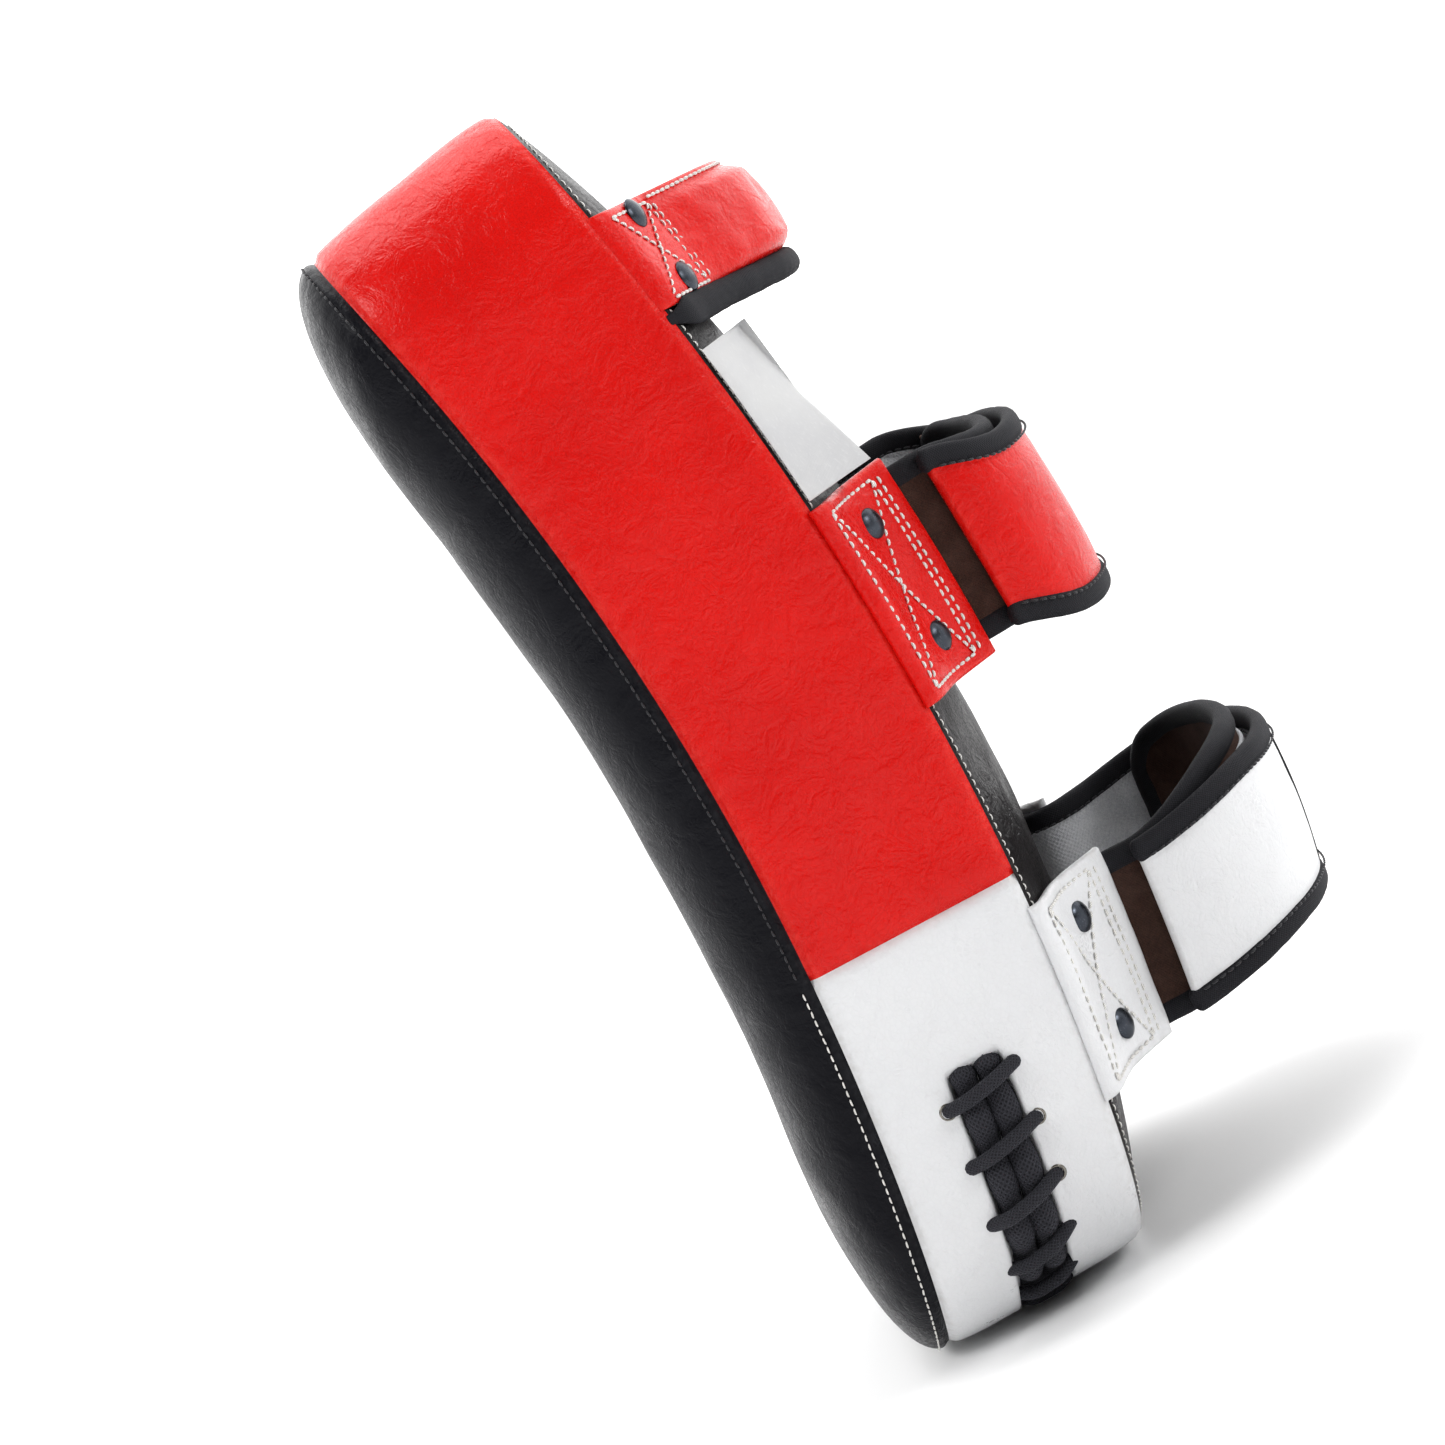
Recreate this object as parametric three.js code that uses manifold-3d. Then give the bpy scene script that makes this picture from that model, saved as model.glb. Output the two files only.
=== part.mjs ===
// Curved Thai kick pad: foam core in a leather case, padded handle, two forearm straps and a laced end.
// Millimetres. +Z runs up the pad to the handle end, -Y is the striking face and +Y is the arm side.
import * as THREE from 'three';
import { mergeVertices } from 'three/addons/utils/BufferGeometryUtils.js';
import Module from 'manifold-3d';

const wasm = await Module();
wasm.setup();

// Driving dimensions.
const PAD_LENGTH = 392;
const PAD_WIDTH = 203;
const WALL_DEPTH = 68.4;
const BEND_RADIUS = 830;
const END_FAN = 0.65;
const ORIGIN_SHIFT = 51.8;
const TOP_CORNER = 38;
const BOTTOM_CORNER = 50;
const FRONT_CROWN = 26;
const FRONT_FLAT = 0.6;
const BACK_CROWN = 13.5;
const BACK_FLAT = 0.2;
const COLOUR_SEAM_Z = 127;
const LEATHER = 2;
const GAP = 0.3;
const CORE_INSET = 5;
const CORE_CLEARANCE = 1.6;
const SEAM_GAP = 0.8;
const FOAM_SPLIT = 17;
const CLOSURE_INSET = 20;

const WELT_RADIUS = 4;
const LACE_RADIUS = 2;
const LACE_PITCH = 18.5;
const LACE_TOP_Z = 83;
const EYELET_OFFSET = 12.3;
const EYELET_HOLE = 3.1;
const SLOT_HALF = 16.3;
const CLOSURE_SINK = 4.9;

const TAB_THICK = 4;
const RIVET_RADIUS = 4.9;
const RIVET_STEM = 1.9;
const RIVET_HOLE = 2.4;
const RIVET_CLEARANCE = 0.7;
const BURR_RADIUS = 3.6;
const BURR_THICK = 0.5;
const STRAP_HALF = 22.5;
const BINDING = 6.5;
const EDGE_GAP = 0.6;
const PATCH = 0.8;
const PATCH_GAP = 1;

const COLOURS = {
  red: 0xe8281c,
  white: 0xf2f3f4,
  black: 0x1c1c21,
  binding: 0x28282d,
  lining: 0x46322a,
  foam: 0x8c9096,
  metal: 0x3c4146,
  label: 0xeeeeea,
};

const HALF_WIDTH = PAD_WIDTH / 2;
const HALF_DEPTH = WALL_DEPTH / 2;
const HALF_ANGLE = Math.asin(PAD_LENGTH / 2 / BEND_RADIUS);
const HALF_LENGTH = BEND_RADIUS * HALF_ANGLE;

const pad = new THREE.Group();

function addPart(name, geometry, colour, roughness = 0.5, metalness = 0) {
  const material = new THREE.MeshStandardMaterial({ color: colour, roughness, metalness });
  const mesh = new THREE.Mesh(geometry, material);
  mesh.name = name;
  pad.add(mesh);
  return mesh;
}

// The pad's bent space: x across, s along the curved middle, t from the striking side to the arm side.
// The lower end stays square to the length, so that the pad stands on it; the upper end fans out.
// The origin lies under the middle of the whole object's depth, straps included.
function place(x, s, t) {
  const angle = s / BEND_RADIUS;
  const fan = END_FAN * THREE.MathUtils.smoothstep(s, -HALF_LENGTH, 0);
  const y = BEND_RADIUS * (Math.cos(angle) - Math.cos(HALF_ANGLE)) + t - ORIGIN_SHIFT;
  const z = PAD_LENGTH / 2 + (BEND_RADIUS + fan * t) * Math.sin(angle);
  return new THREE.Vector3(x, y, z);
}

function alongAt(z) {
  return BEND_RADIUS * Math.asin((z - PAD_LENGTH / 2) / BEND_RADIUS);
}

// Welds the vertices, moves each one by the given function and turns the faces outward.
function shaped(source, move) {
  source.deleteAttribute('normal');
  source.deleteAttribute('uv');
  const geometry = mergeVertices(source, 1e-5);
  const position = geometry.attributes.position;
  const point = new THREE.Vector3();
  for (let i = 0; i < position.count; i += 1) {
    point.fromBufferAttribute(position, i);
    const moved = move(point.x, point.y, point.z);
    position.setXYZ(i, moved.x, moved.y, moved.z);
  }
  if (signedVolume(geometry) < 0) {
    const index = geometry.index;
    for (let i = 0; i < index.count; i += 3) {
      const first = index.getX(i);
      index.setX(i, index.getX(i + 1));
      index.setX(i + 1, first);
    }
  }
  return geometry;
}

function signedVolume(geometry) {
  const position = geometry.attributes.position;
  const index = geometry.index;
  const corners = [new THREE.Vector3(), new THREE.Vector3(), new THREE.Vector3()];
  let volume = 0;
  for (let i = 0; i < index.count; i += 3) {
    corners.forEach((corner, j) => corner.fromBufferAttribute(position, index.getX(i + j)));
    volume += corners[0].dot(corners[1].cross(corners[2])) / 6;
  }
  return volume;
}

function toSolid(geometry) {
  const mesh = new wasm.Mesh({
    numProp: 3,
    vertProperties: new Float32Array(geometry.attributes.position.array),
    triVerts: new Uint32Array(geometry.index.array),
  });
  return new wasm.Manifold(mesh);
}

function fromSolid(solid) {
  const mesh = solid.getMesh();
  const geometry = new THREE.BufferGeometry();
  geometry.setAttribute('position', new THREE.BufferAttribute(mesh.vertProperties, 3));
  geometry.setIndex(new THREE.BufferAttribute(mesh.triVerts, 1));
  return geometry;
}

// A unit box whose three coordinates run from 0 to 1.
function unitBox(nx, ny, nz) {
  return new THREE.BoxGeometry(1, 1, 1, nx, ny, nz).translate(0.5, 0.5, 0.5);
}

// ---- Case and core ----

// The case's outline in x and s, clockwise from the middle of the top end.
function caseOutline() {
  const path = new THREE.Path();
  const top = HALF_LENGTH - TOP_CORNER;
  const bottom = -HALF_LENGTH + BOTTOM_CORNER;
  path.moveTo(0, HALF_LENGTH);
  path.lineTo(HALF_WIDTH - TOP_CORNER, HALF_LENGTH);
  path.absarc(HALF_WIDTH - TOP_CORNER, top, TOP_CORNER, Math.PI / 2, 0, true);
  path.absarc(HALF_WIDTH - BOTTOM_CORNER, bottom, BOTTOM_CORNER, 0, -Math.PI / 2, true);
  path.absarc(-HALF_WIDTH + BOTTOM_CORNER, bottom, BOTTOM_CORNER, -Math.PI / 2, -Math.PI, true);
  path.absarc(-HALF_WIDTH + TOP_CORNER, top, TOP_CORNER, Math.PI, Math.PI / 2, true);
  path.closePath();
  return path;
}

const OUTLINE = caseOutline();
OUTLINE.arcLengthDivisions = 800;
const PERIMETER = OUTLINE.getLength();

// A point on the case wall: distance along the outline, depth below the leather's outside, and t.
function onWall(distance, depth, t) {
  const u = THREE.MathUtils.clamp(distance / PERIMETER, 0, 1);
  const point = OUTLINE.getPointAt(u);
  const tangent = OUTLINE.getTangentAt(u);
  return place(point.x + tangent.y * depth, point.y - tangent.x * depth, t);
}

// Distance along the outline, from the top middle, to a height on the +x side.
function distanceAt(z) {
  const corner = TOP_CORNER * Math.PI / 2;
  return HALF_WIDTH - TOP_CORNER + corner + HALF_LENGTH - TOP_CORNER - alongAt(z);
}

// Pulls a point of the square from -1 to 1 onto the rounded outline, ring by ring.
function onRing(a, b, inset) {
  const ring = Math.max(Math.abs(a), Math.abs(b));
  if (ring === 0) {
    return { x: 0, s: 0, ring };
  }
  const radius = (b > 0 ? TOP_CORNER : BOTTOM_CORNER) - inset;
  const halfX = HALF_WIDTH - inset;
  const halfS = HALF_LENGTH - inset;
  let x = Math.abs(a / ring) * halfX;
  let s = Math.abs(b / ring) * halfS;
  const overX = x - (halfX - radius);
  const overS = s - (halfS - radius);
  if (overX > 0 && overS > 0) {
    const reach = Math.hypot(overX, overS);
    x = halfX - radius + radius * overX / reach;
    s = halfS - radius + radius * overS / reach;
  }
  return { x: Math.sign(a) * x * ring, s: Math.sign(b) * s * ring, ring };
}

function roundedDome(ring) {
  const edge = Math.max(0, (ring - FRONT_FLAT) / (1 - FRONT_FLAT));
  return Math.sqrt(1 - edge * edge);
}

function lowDome(ring) {
  const edge = Math.max(0, (ring - BACK_FLAT) / (1 - BACK_FLAT));
  return 1 - edge * edge;
}

// A layer of the pad between two faces, each with its own inset and its own level over the rings.
function layer(front, back) {
  const ease = (value) => value * (3 - value * value) / 2;
  return shaped(unitBox(8, 12, 1), (u, v, side) => {
    const face = side < 0.5 ? front : back;
    const spot = onRing(ease(2 * u - 1), ease(2 * v - 1), face.inset(v));
    return place(spot.x, spot.s, face.level(spot.ring));
  });
}

function buildCore() {
  const skin = LEATHER + CORE_CLEARANCE;
  const snug = () => CORE_INSET;
  const clear = (v) => THREE.MathUtils.lerp(
    CLOSURE_INSET, CORE_INSET, THREE.MathUtils.smoothstep(v, 0.35, 0.45),
  );
  addPart('strike_foam', layer(
    { inset: snug, level: (ring) => -HALF_DEPTH - (FRONT_CROWN - skin) * roundedDome(ring) },
    { inset: snug, level: () => -FOAM_SPLIT - GAP / 2 },
  ), COLOURS.foam, 0.9);
  addPart('middle_foam', layer(
    { inset: clear, level: () => -FOAM_SPLIT + GAP / 2 },
    { inset: clear, level: () => FOAM_SPLIT - GAP / 2 },
  ), COLOURS.foam, 0.9);
  addPart('arm_foam', layer(
    { inset: snug, level: () => FOAM_SPLIT + GAP / 2 },
    { inset: snug, level: (ring) => HALF_DEPTH + (BACK_CROWN - skin) * lowDome(ring) },
  ), COLOURS.foam, 0.9);
}

function buildPanels() {
  const outside = () => 0;
  const inside = () => LEATHER;
  addPart('strike_panel', layer(
    { inset: outside, level: (ring) => -HALF_DEPTH - FRONT_CROWN * roundedDome(ring) },
    { inset: inside, level: (ring) => -HALF_DEPTH - (FRONT_CROWN - LEATHER) * roundedDome(ring) },
  ), COLOURS.black, 0.4);
  addPart('arm_panel', layer(
    { inset: inside, level: (ring) => HALF_DEPTH + (BACK_CROWN - LEATHER) * lowDome(ring) },
    { inset: outside, level: (ring) => HALF_DEPTH + BACK_CROWN * lowDome(ring) },
  ), COLOURS.black, 0.45);
}

// A curved block of the case wall between two distances, two depths and two levels.
function wallBlock(span, depth, level, steps) {
  return shaped(unitBox(steps, 2, 1), (u, v, w) => onWall(
    THREE.MathUtils.lerp(span[0], span[1], u),
    THREE.MathUtils.lerp(depth[0], depth[1], w),
    THREE.MathUtils.lerp(level[0], level[1], v),
  ));
}

function buildWalls() {
  const seam = distanceAt(COLOUR_SEAM_Z);
  const edges = [-HALF_DEPTH + GAP, HALF_DEPTH - SEAM_GAP];
  const left = wallBlock([PERIMETER - seam + GAP, PERIMETER], [0, LEATHER], edges, 26);
  const right = wallBlock([0, seam - GAP], [0, LEATHER], edges, 26);
  addPart('red_side_band', fromSolid(toSolid(left).add(toSolid(right))), COLOURS.red, 0.4);
  const white = wallBlock([seam, PERIMETER - seam], [0, LEATHER], edges, 40);
  const start = distanceAt(LACE_TOP_Z) - LACE_PITCH / 2;
  const slot = wallBlock([start, PERIMETER - start], [-LEATHER, 2 * LEATHER], [-SLOT_HALF, SLOT_HALF], 36);
  addPart('white_side_band', fromSolid(toSolid(white).subtract(toSolid(slot))), COLOURS.white, 0.4);
}

// ---- Laced closure ----

// Closure pieces stand proud on the sides and sink flush where the pad stands on its end.
function onClosure(distance, depth, t) {
  const tangent = OUTLINE.getTangentAt(distance / PERIMETER);
  const facingDown = Math.max(0, -tangent.x);
  return onWall(distance, depth + CLOSURE_SINK * facingDown * facingDown, t);
}

class ClosureCurve extends THREE.Curve {
  constructor(start, end, depthAndLevel) {
    super();
    this.start = start;
    this.end = end;
    this.depthAndLevel = depthAndLevel;
  }

  getPoint(u, target = new THREE.Vector3()) {
    const distance = THREE.MathUtils.lerp(this.start, this.end, u);
    const [depth, level] = this.depthAndLevel(distance);
    return target.copy(onClosure(distance, depth, level));
  }
}

function circleShape(radius, sides) {
  const points = [];
  for (let i = 0; i < sides; i += 1) {
    const angle = 2 * Math.PI * i / sides;
    points.push(new THREE.Vector2(radius * Math.cos(angle), radius * Math.sin(angle)));
  }
  return new THREE.Shape(points);
}

function tube(curve, radius, sides, steps) {
  const shape = circleShape(radius, sides);
  const settings = { extrudePath: curve, steps, curveSegments: 1, bevelEnabled: false };
  return shaped(new THREE.ExtrudeGeometry(shape, settings), (x, y, z) => new THREE.Vector3(x, y, z));
}

function cylinderAlong(centre, direction, radius, length, sides) {
  const geometry = new THREE.CylinderGeometry(radius, radius, length, sides);
  const turn = new THREE.Quaternion().setFromUnitVectors(new THREE.Vector3(0, 1, 0), direction);
  return shaped(geometry, (x, y, z) => new THREE.Vector3(x, y, z).applyQuaternion(turn).add(centre));
}

function eyeletStrip(side, start, count) {
  const inner = 2 * WELT_RADIUS + 2 * GAP;
  const outer = SLOT_HALF - GAP;
  const reach = LACE_PITCH / 2 - LEATHER;
  const span = [start - reach, start + (count - 1) * LACE_PITCH + reach];
  const block = shaped(unitBox(2 * count, 1, 1), (u, v, w) => onClosure(
    THREE.MathUtils.lerp(span[0], span[1], u),
    THREE.MathUtils.lerp(GAP, LEATHER, w),
    side * THREE.MathUtils.lerp(inner, outer, v),
  ));
  let strip = toSolid(block);
  for (let i = 0; i < count; i += 1) {
    const distance = start + i * LACE_PITCH;
    const centre = onClosure(distance, LEATHER / 2, side * EYELET_OFFSET);
    const outward = onClosure(distance, 0, side * EYELET_OFFSET).sub(centre).normalize();
    strip = strip.subtract(toSolid(cylinderAlong(centre, outward, EYELET_HOLE, 4 * LEATHER, 8)));
  }
  return fromSolid(strip);
}

function buildClosure() {
  const count = Math.floor((PERIMETER - 2 * distanceAt(LACE_TOP_Z)) / LACE_PITCH) + 1;
  const start = (PERIMETER - (count - 1) * LACE_PITCH) / 2;
  const end = PERIMETER - start;
  const weltDepth = WELT_RADIUS;
  const weltLevel = WELT_RADIUS + GAP / 2;
  for (const [name, side] of [['front', -1], ['back', 1]]) {
    const curve = new ClosureCurve(start - 6, end + 6, () => [weltDepth, side * weltLevel]);
    addPart(`closure_welt_${name}`, tube(curve, WELT_RADIUS, 6, 30), COLOURS.binding, 0.85);
    addPart(`eyelet_strip_${name}`, eyeletStrip(side, start, count), COLOURS.white, 0.45);
  }
  // The lace crosses over the welts, goes down an eyelet and returns under them to the next pair.
  const over = -LACE_RADIUS - GAP;
  const under = 2 * WELT_RADIUS + LACE_RADIUS + 2 * GAP;
  const points = [];
  for (let i = 0; i < count; i += 1) {
    const distance = start + i * LACE_PITCH;
    points.push(onClosure(distance, over, -EYELET_OFFSET));
    points.push(onClosure(distance, over, 0));
    points.push(onClosure(distance, over, EYELET_OFFSET));
    points.push(onClosure(distance, under, EYELET_OFFSET));
    if (i < count - 1) {
      points.push(onClosure(distance + LACE_PITCH / 2, under + GAP, 0));
      points.push(onClosure(distance + LACE_PITCH, under, -EYELET_OFFSET));
    }
  }
  const lace = new THREE.CatmullRomCurve3(points);
  // The tube's steps fall on the route's own points, so that it turns squarely into each eyelet.
  lace.getPointAt = lace.getPoint;
  lace.getTangentAt = lace.getTangent;
  addPart('closure_lace', tube(lace, LACE_RADIUS, 6, points.length - 1), COLOURS.black, 0.8);
}

// ---- Tabs, straps and handle ----

// A band that follows a path of [x, height over the back seam], centred on a length s.
function band(points, thick, halfWidth, centre, steps) {
  const path = new THREE.SplineCurve(points.map((p) => new THREE.Vector2(p[0], p[1])));
  return shaped(unitBox(steps, 1, 1), (u, v, w) => {
    const spot = bandPoint(path, u, (w - 0.5) * thick);
    const s = centre(spot.y) + THREE.MathUtils.lerp(halfWidth[0], halfWidth[1], v);
    return place(spot.x, s, HALF_DEPTH + spot.y);
  });
}

function bandPoint(path, u, offset) {
  const point = path.getPointAt(u);
  const tangent = path.getTangentAt(u);
  return new THREE.Vector2(point.x - tangent.y * offset, point.y + tangent.x * offset);
}

function mirrored(points) {
  return points.map((p) => [-p[0], p[1]]);
}

function wholeArch(half) {
  return [...half, ...mirrored(half.slice(0, -1)).reverse()];
}

// A domed cap on the tab's outside, a stem through it and a burr under it, about the y axis.
function domedRivet() {
  const dome = 1.6;
  const under = -TAB_THICK - RIVET_CLEARANCE;
  const points = [[0, RIVET_CLEARANCE + dome]];
  for (let i = 1; i <= 2; i += 1) {
    const angle = i * Math.PI / 4;
    const height = RIVET_CLEARANCE + 0.4 + (dome - 0.4) * Math.cos(angle);
    points.push([RIVET_RADIUS * Math.sin(angle), height]);
  }
  points.push([RIVET_RADIUS, RIVET_CLEARANCE], [RIVET_STEM, RIVET_CLEARANCE], [RIVET_STEM, under]);
  points.push([BURR_RADIUS, under], [BURR_RADIUS, under - BURR_THICK], [0, under - BURR_THICK]);
  return new THREE.LatheGeometry(points.map((p) => new THREE.Vector2(p[0], p[1])), 10);
}

// One sewn tab with its pair of rivets; side is 1 for the +x side and -1 for the -x side.
function buildTab(name, side, half, halfWidth, rivetOffset, centre, colour) {
  const points = side > 0 ? half : mirrored(half);
  const path = new THREE.SplineCurve(points.map((p) => new THREE.Vector2(p[0], p[1])));
  let tab = toSolid(band(points, TAB_THICK, halfWidth, () => centre, 4));
  const middle = (halfWidth[0] + halfWidth[1]) / 2;
  for (const [end, sign] of [['upper', 1], ['lower', -1]]) {
    const s = centre + middle + sign * rivetOffset;
    const spot = path.getPointAt(0.5);
    const next = spot.clone().add(path.getTangentAt(0.5));
    const foot = place(spot.x, s, HALF_DEPTH + spot.y);
    const along = place(next.x, s, HALF_DEPTH + next.y).sub(foot);
    const across = place(spot.x, s + 1, HALF_DEPTH + spot.y).sub(foot);
    const direction = along.cross(across).normalize();
    if (direction.y < 0) {
      direction.negate();
    }
    tab = tab.subtract(toSolid(cylinderAlong(foot, direction, RIVET_HOLE, 4 * TAB_THICK, 8)));
    const turn = new THREE.Quaternion().setFromUnitVectors(new THREE.Vector3(0, 1, 0), direction);
    const rise = foot.clone().addScaledVector(direction, TAB_THICK / 2);
    const rivet = shaped(domedRivet(), (x, y, z) => new THREE.Vector3(x, y, z).applyQuaternion(turn).add(rise));
    addPart(`${name}_rivet_${end}`, rivet, COLOURS.metal, 0.35, 0.8);
  }
  addPart(name, fromSolid(tab), colour, 0.4);
}

// A binding that runs along one edge of a strap, round its free end and back along the other edge.
function bindingAround(points, thick, centre, steps) {
  const outer = STRAP_HALF + BINDING;
  const inner = STRAP_HALF + EDGE_GAP;
  const path = new THREE.SplineCurve(points.map((p) => new THREE.Vector2(p[0], p[1])));
  const noseStart = 1 - BINDING / path.getLength();
  const along = [0, noseStart + (1 - noseStart) / 4];
  const upper = edgeStrip(path, along, [inner, outer], thick, centre, steps);
  const lower = edgeStrip(path, along, [-outer, -inner], thick, centre, steps);
  const nose = edgeStrip(path, [noseStart, 1], [-outer + 0.5, outer - 0.5], thick, centre, 1);
  return fromSolid(toSolid(upper).add(toSolid(lower)).add(toSolid(nose)));
}

function edgeStrip(path, span, width, thick, centre, steps) {
  return shaped(unitBox(steps, 1, 1), (u, v, w) => {
    const spot = bandPoint(path, THREE.MathUtils.lerp(span[0], span[1], u), (w - 0.5) * thick);
    const s = centre(spot.y) + THREE.MathUtils.lerp(width[0], width[1], v);
    return place(spot.x, s, HALF_DEPTH + spot.y);
  });
}

// The part of a strap inside its binding.
function strapFace(points, thick, centre, steps) {
  const path = new THREE.SplineCurve(points.map((p) => new THREE.Vector2(p[0], p[1])));
  const span = [0, 1 - (BINDING + EDGE_GAP) / path.getLength()];
  return edgeStrip(path, span, [-STRAP_HALF, STRAP_HALF], thick, centre, steps);
}

function offsetPath(points, offset, from, to) {
  const path = new THREE.SplineCurve(points.map((p) => new THREE.Vector2(p[0], p[1])));
  const result = [];
  const count = 12;
  for (let i = 0; i <= count; i += 1) {
    const spot = bandPoint(path, THREE.MathUtils.lerp(from, to, i / count), offset);
    result.push([spot.x, spot.y]);
  }
  return result;
}

const UPPER = {
  name: 'upper',
  centre: 19,
  tab: [[98, 3.8], [82, 11.5], [66, 26.5]],
  tabHalf: 33,
  rivet: 19,
  inner: [[64.6, 28.5], [63.5, 36], [55, 49], [35, 59.5], [0, 63], [-35, 59.5], [-54, 50]],
  closing: [[-65.4, 29], [-68.5, 40], [-62.5, 54], [-41, 67], [0, 71.7], [41, 67], [62.5, 54], [69, 37]],
  lean: { inner: -6, closing: -8, height: 64 },
  colour: COLOURS.red,
};

const LOWER = {
  name: 'lower',
  centre: -112,
  tab: [[98, 3.8], [80, 11.5], [63, 27.5]],
  tabHalf: 32,
  rivet: 18,
  inner: [[61.6, 29.5], [63, 44], [59, 60], [45, 75], [24, 83.5], [0, 86], [-24, 83.5], [-45, 75], [-57, 62]],
  closing: [[-62.4, 30], [-69, 46], [-66.5, 64.5], [-52, 82], [-27, 92.5], [0, 95.5], [27, 92.5], [52, 82],
    [66.5, 64.5], [69.5, 38]],
  lean: { inner: 14, closing: 7, height: 86 },
  colour: COLOURS.white,
};

function buildStrap(strap) {
  const { name, centre, colour, lean } = strap;
  const root = strap.tab[2][1] + 8;
  const leanTo = (amount) => (height) => (
    centre + amount * THREE.MathUtils.smoothstep(height, root, lean.height)
  );
  const tabWidth = [-strap.tabHalf, strap.tabHalf];
  buildTab(`${name}_tab_right`, 1, strap.tab, tabWidth, strap.rivet, centre, colour);
  buildTab(`${name}_tab_left`, -1, strap.tab, tabWidth, strap.rivet, centre, colour);
  const innerThick = 5;
  const closingThick = 4;
  const inner = leanTo(lean.inner);
  const closing = leanTo(lean.closing);
  addPart(`${name}_inner_strap`, strapFace(strap.inner, innerThick, inner, 12), COLOURS.lining, 0.7);
  addPart(`${name}_inner_binding`, bindingAround(strap.inner, innerThick, inner, 12), COLOURS.binding, 0.7);
  addPart(`${name}_closing_strap`, strapFace(strap.closing, closingThick, closing, 18), colour, 0.4);
  addPart(`${name}_closing_binding`, bindingAround(strap.closing, closingThick, closing, 18), COLOURS.binding, 0.7);
  // Each path runs from its root to its free end, so its left side faces out or in.
  const loop = offsetPath(strap.inner, -(innerThick + PATCH) / 2 - PATCH_GAP, 0.25, 0.8);
  const hook = offsetPath(strap.closing, -(closingThick + PATCH) / 2 - PATCH_GAP, 0.42, 0.92);
  const patchHalf = [-STRAP_HALF + 4, STRAP_HALF - 4];
  addPart(`${name}_loop_patch`, band(loop, PATCH, patchHalf, inner, 14), COLOURS.white, 0.9);
  addPart(`${name}_hook_patch`, band(hook, PATCH, patchHalf, closing, 14), COLOURS.black, 0.9);
}

const HANDLE = {
  centre: 135,
  tab: [[98, 3.8], [84, 10], [70, 17]],
  rivet: 11.5,
  width: [-13.5, 20],
  edge: [-21.5, -13.8],
  cover: [[68, 18.8], [55, 30], [33, 43], [0, 47.3]],
  core: [[36, 33.8], [20, 38.8], [0, 40.6]],
  liner: [[68.5, 14.5], [50, 23], [28, 31.5], [0, 34.5]],
  rim: [[68.5, 16.5], [53, 26.5], [31, 37], [0, 41]],
  lean: -8,
};

function buildHandle() {
  const [root, top] = [HANDLE.tab[2][1], HANDLE.cover[3][1]];
  const centre = (height) => HANDLE.centre + HANDLE.lean * THREE.MathUtils.smoothstep(height, root, top);
  buildTab('handle_tab_right', 1, HANDLE.tab, HANDLE.width, HANDLE.rivet, HANDLE.centre, COLOURS.red);
  buildTab('handle_tab_left', -1, HANDLE.tab, HANDLE.width, HANDLE.rivet, HANDLE.centre, COLOURS.red);
  addPart('handle_cover', band(wholeArch(HANDLE.cover), 2.4, HANDLE.width, centre, 12), COLOURS.red, 0.4);
  addPart('handle_core', band(wholeArch(HANDLE.core), 7, HANDLE.width, centre, 10), COLOURS.foam, 0.9);
  addPart('handle_liner', band(wholeArch(HANDLE.liner), 2, HANDLE.width, centre, 12), COLOURS.red, 0.5);
  addPart('handle_black_edge', band(wholeArch(HANDLE.rim), 6, HANDLE.edge, centre, 12), COLOURS.black, 0.5);
}

function buildLabel() {
  const points = [[99.8, 1.6], [93, 9.5], [84, 18]];
  const centre = 81;
  addPart('care_label', band(points, 0.8, [-26, 26], () => centre, 6), COLOURS.label, 0.6);
}

buildCore();
buildPanels();
buildWalls();
buildClosure();
buildStrap(UPPER);
buildStrap(LOWER);
buildHandle();
buildLabel();

export default pad;
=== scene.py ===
"""Thai kick pad: detailed leather, straps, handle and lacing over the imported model, in its frame."""

import math

import bmesh
import bpy
import numpy as np
from mathutils import Matrix, Vector, noise


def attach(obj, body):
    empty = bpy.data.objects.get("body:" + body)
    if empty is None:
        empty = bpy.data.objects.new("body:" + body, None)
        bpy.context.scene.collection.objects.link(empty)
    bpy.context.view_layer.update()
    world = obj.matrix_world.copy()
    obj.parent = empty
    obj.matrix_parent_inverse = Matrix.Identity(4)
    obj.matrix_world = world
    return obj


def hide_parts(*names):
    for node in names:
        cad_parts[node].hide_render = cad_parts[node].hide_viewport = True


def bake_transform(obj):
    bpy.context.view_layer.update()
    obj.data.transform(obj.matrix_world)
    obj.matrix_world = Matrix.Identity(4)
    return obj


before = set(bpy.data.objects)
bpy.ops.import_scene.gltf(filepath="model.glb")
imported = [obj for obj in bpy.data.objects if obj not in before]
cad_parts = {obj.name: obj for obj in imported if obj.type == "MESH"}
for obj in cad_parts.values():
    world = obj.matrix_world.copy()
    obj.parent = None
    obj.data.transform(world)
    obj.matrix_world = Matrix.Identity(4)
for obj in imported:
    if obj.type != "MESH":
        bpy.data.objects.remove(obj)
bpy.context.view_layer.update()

# ---- Driving dimensions, in millimetres, as in the CAD ----
LENGTH = 392.0
WIDTH = 203.0
DEPTH = 68.4
RADIUS = 830.0
FAN = 0.65
SHIFT = 51.8
TOP_CORNER = 38.0
BOTTOM_CORNER = 50.0
FRONT_CROWN = 26.0
FRONT_FLAT = 0.6
BACK_CROWN = 13.5
BACK_FLAT = 0.2
COLOUR_SEAM_Z = 127.0
LACE_TOP_Z = 83.0
LACE_PITCH = 18.5
EYELET_OFFSET = 12.3
WELT_OFFSET = 4.1
WELT_OVERHANG = 5.0
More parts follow.
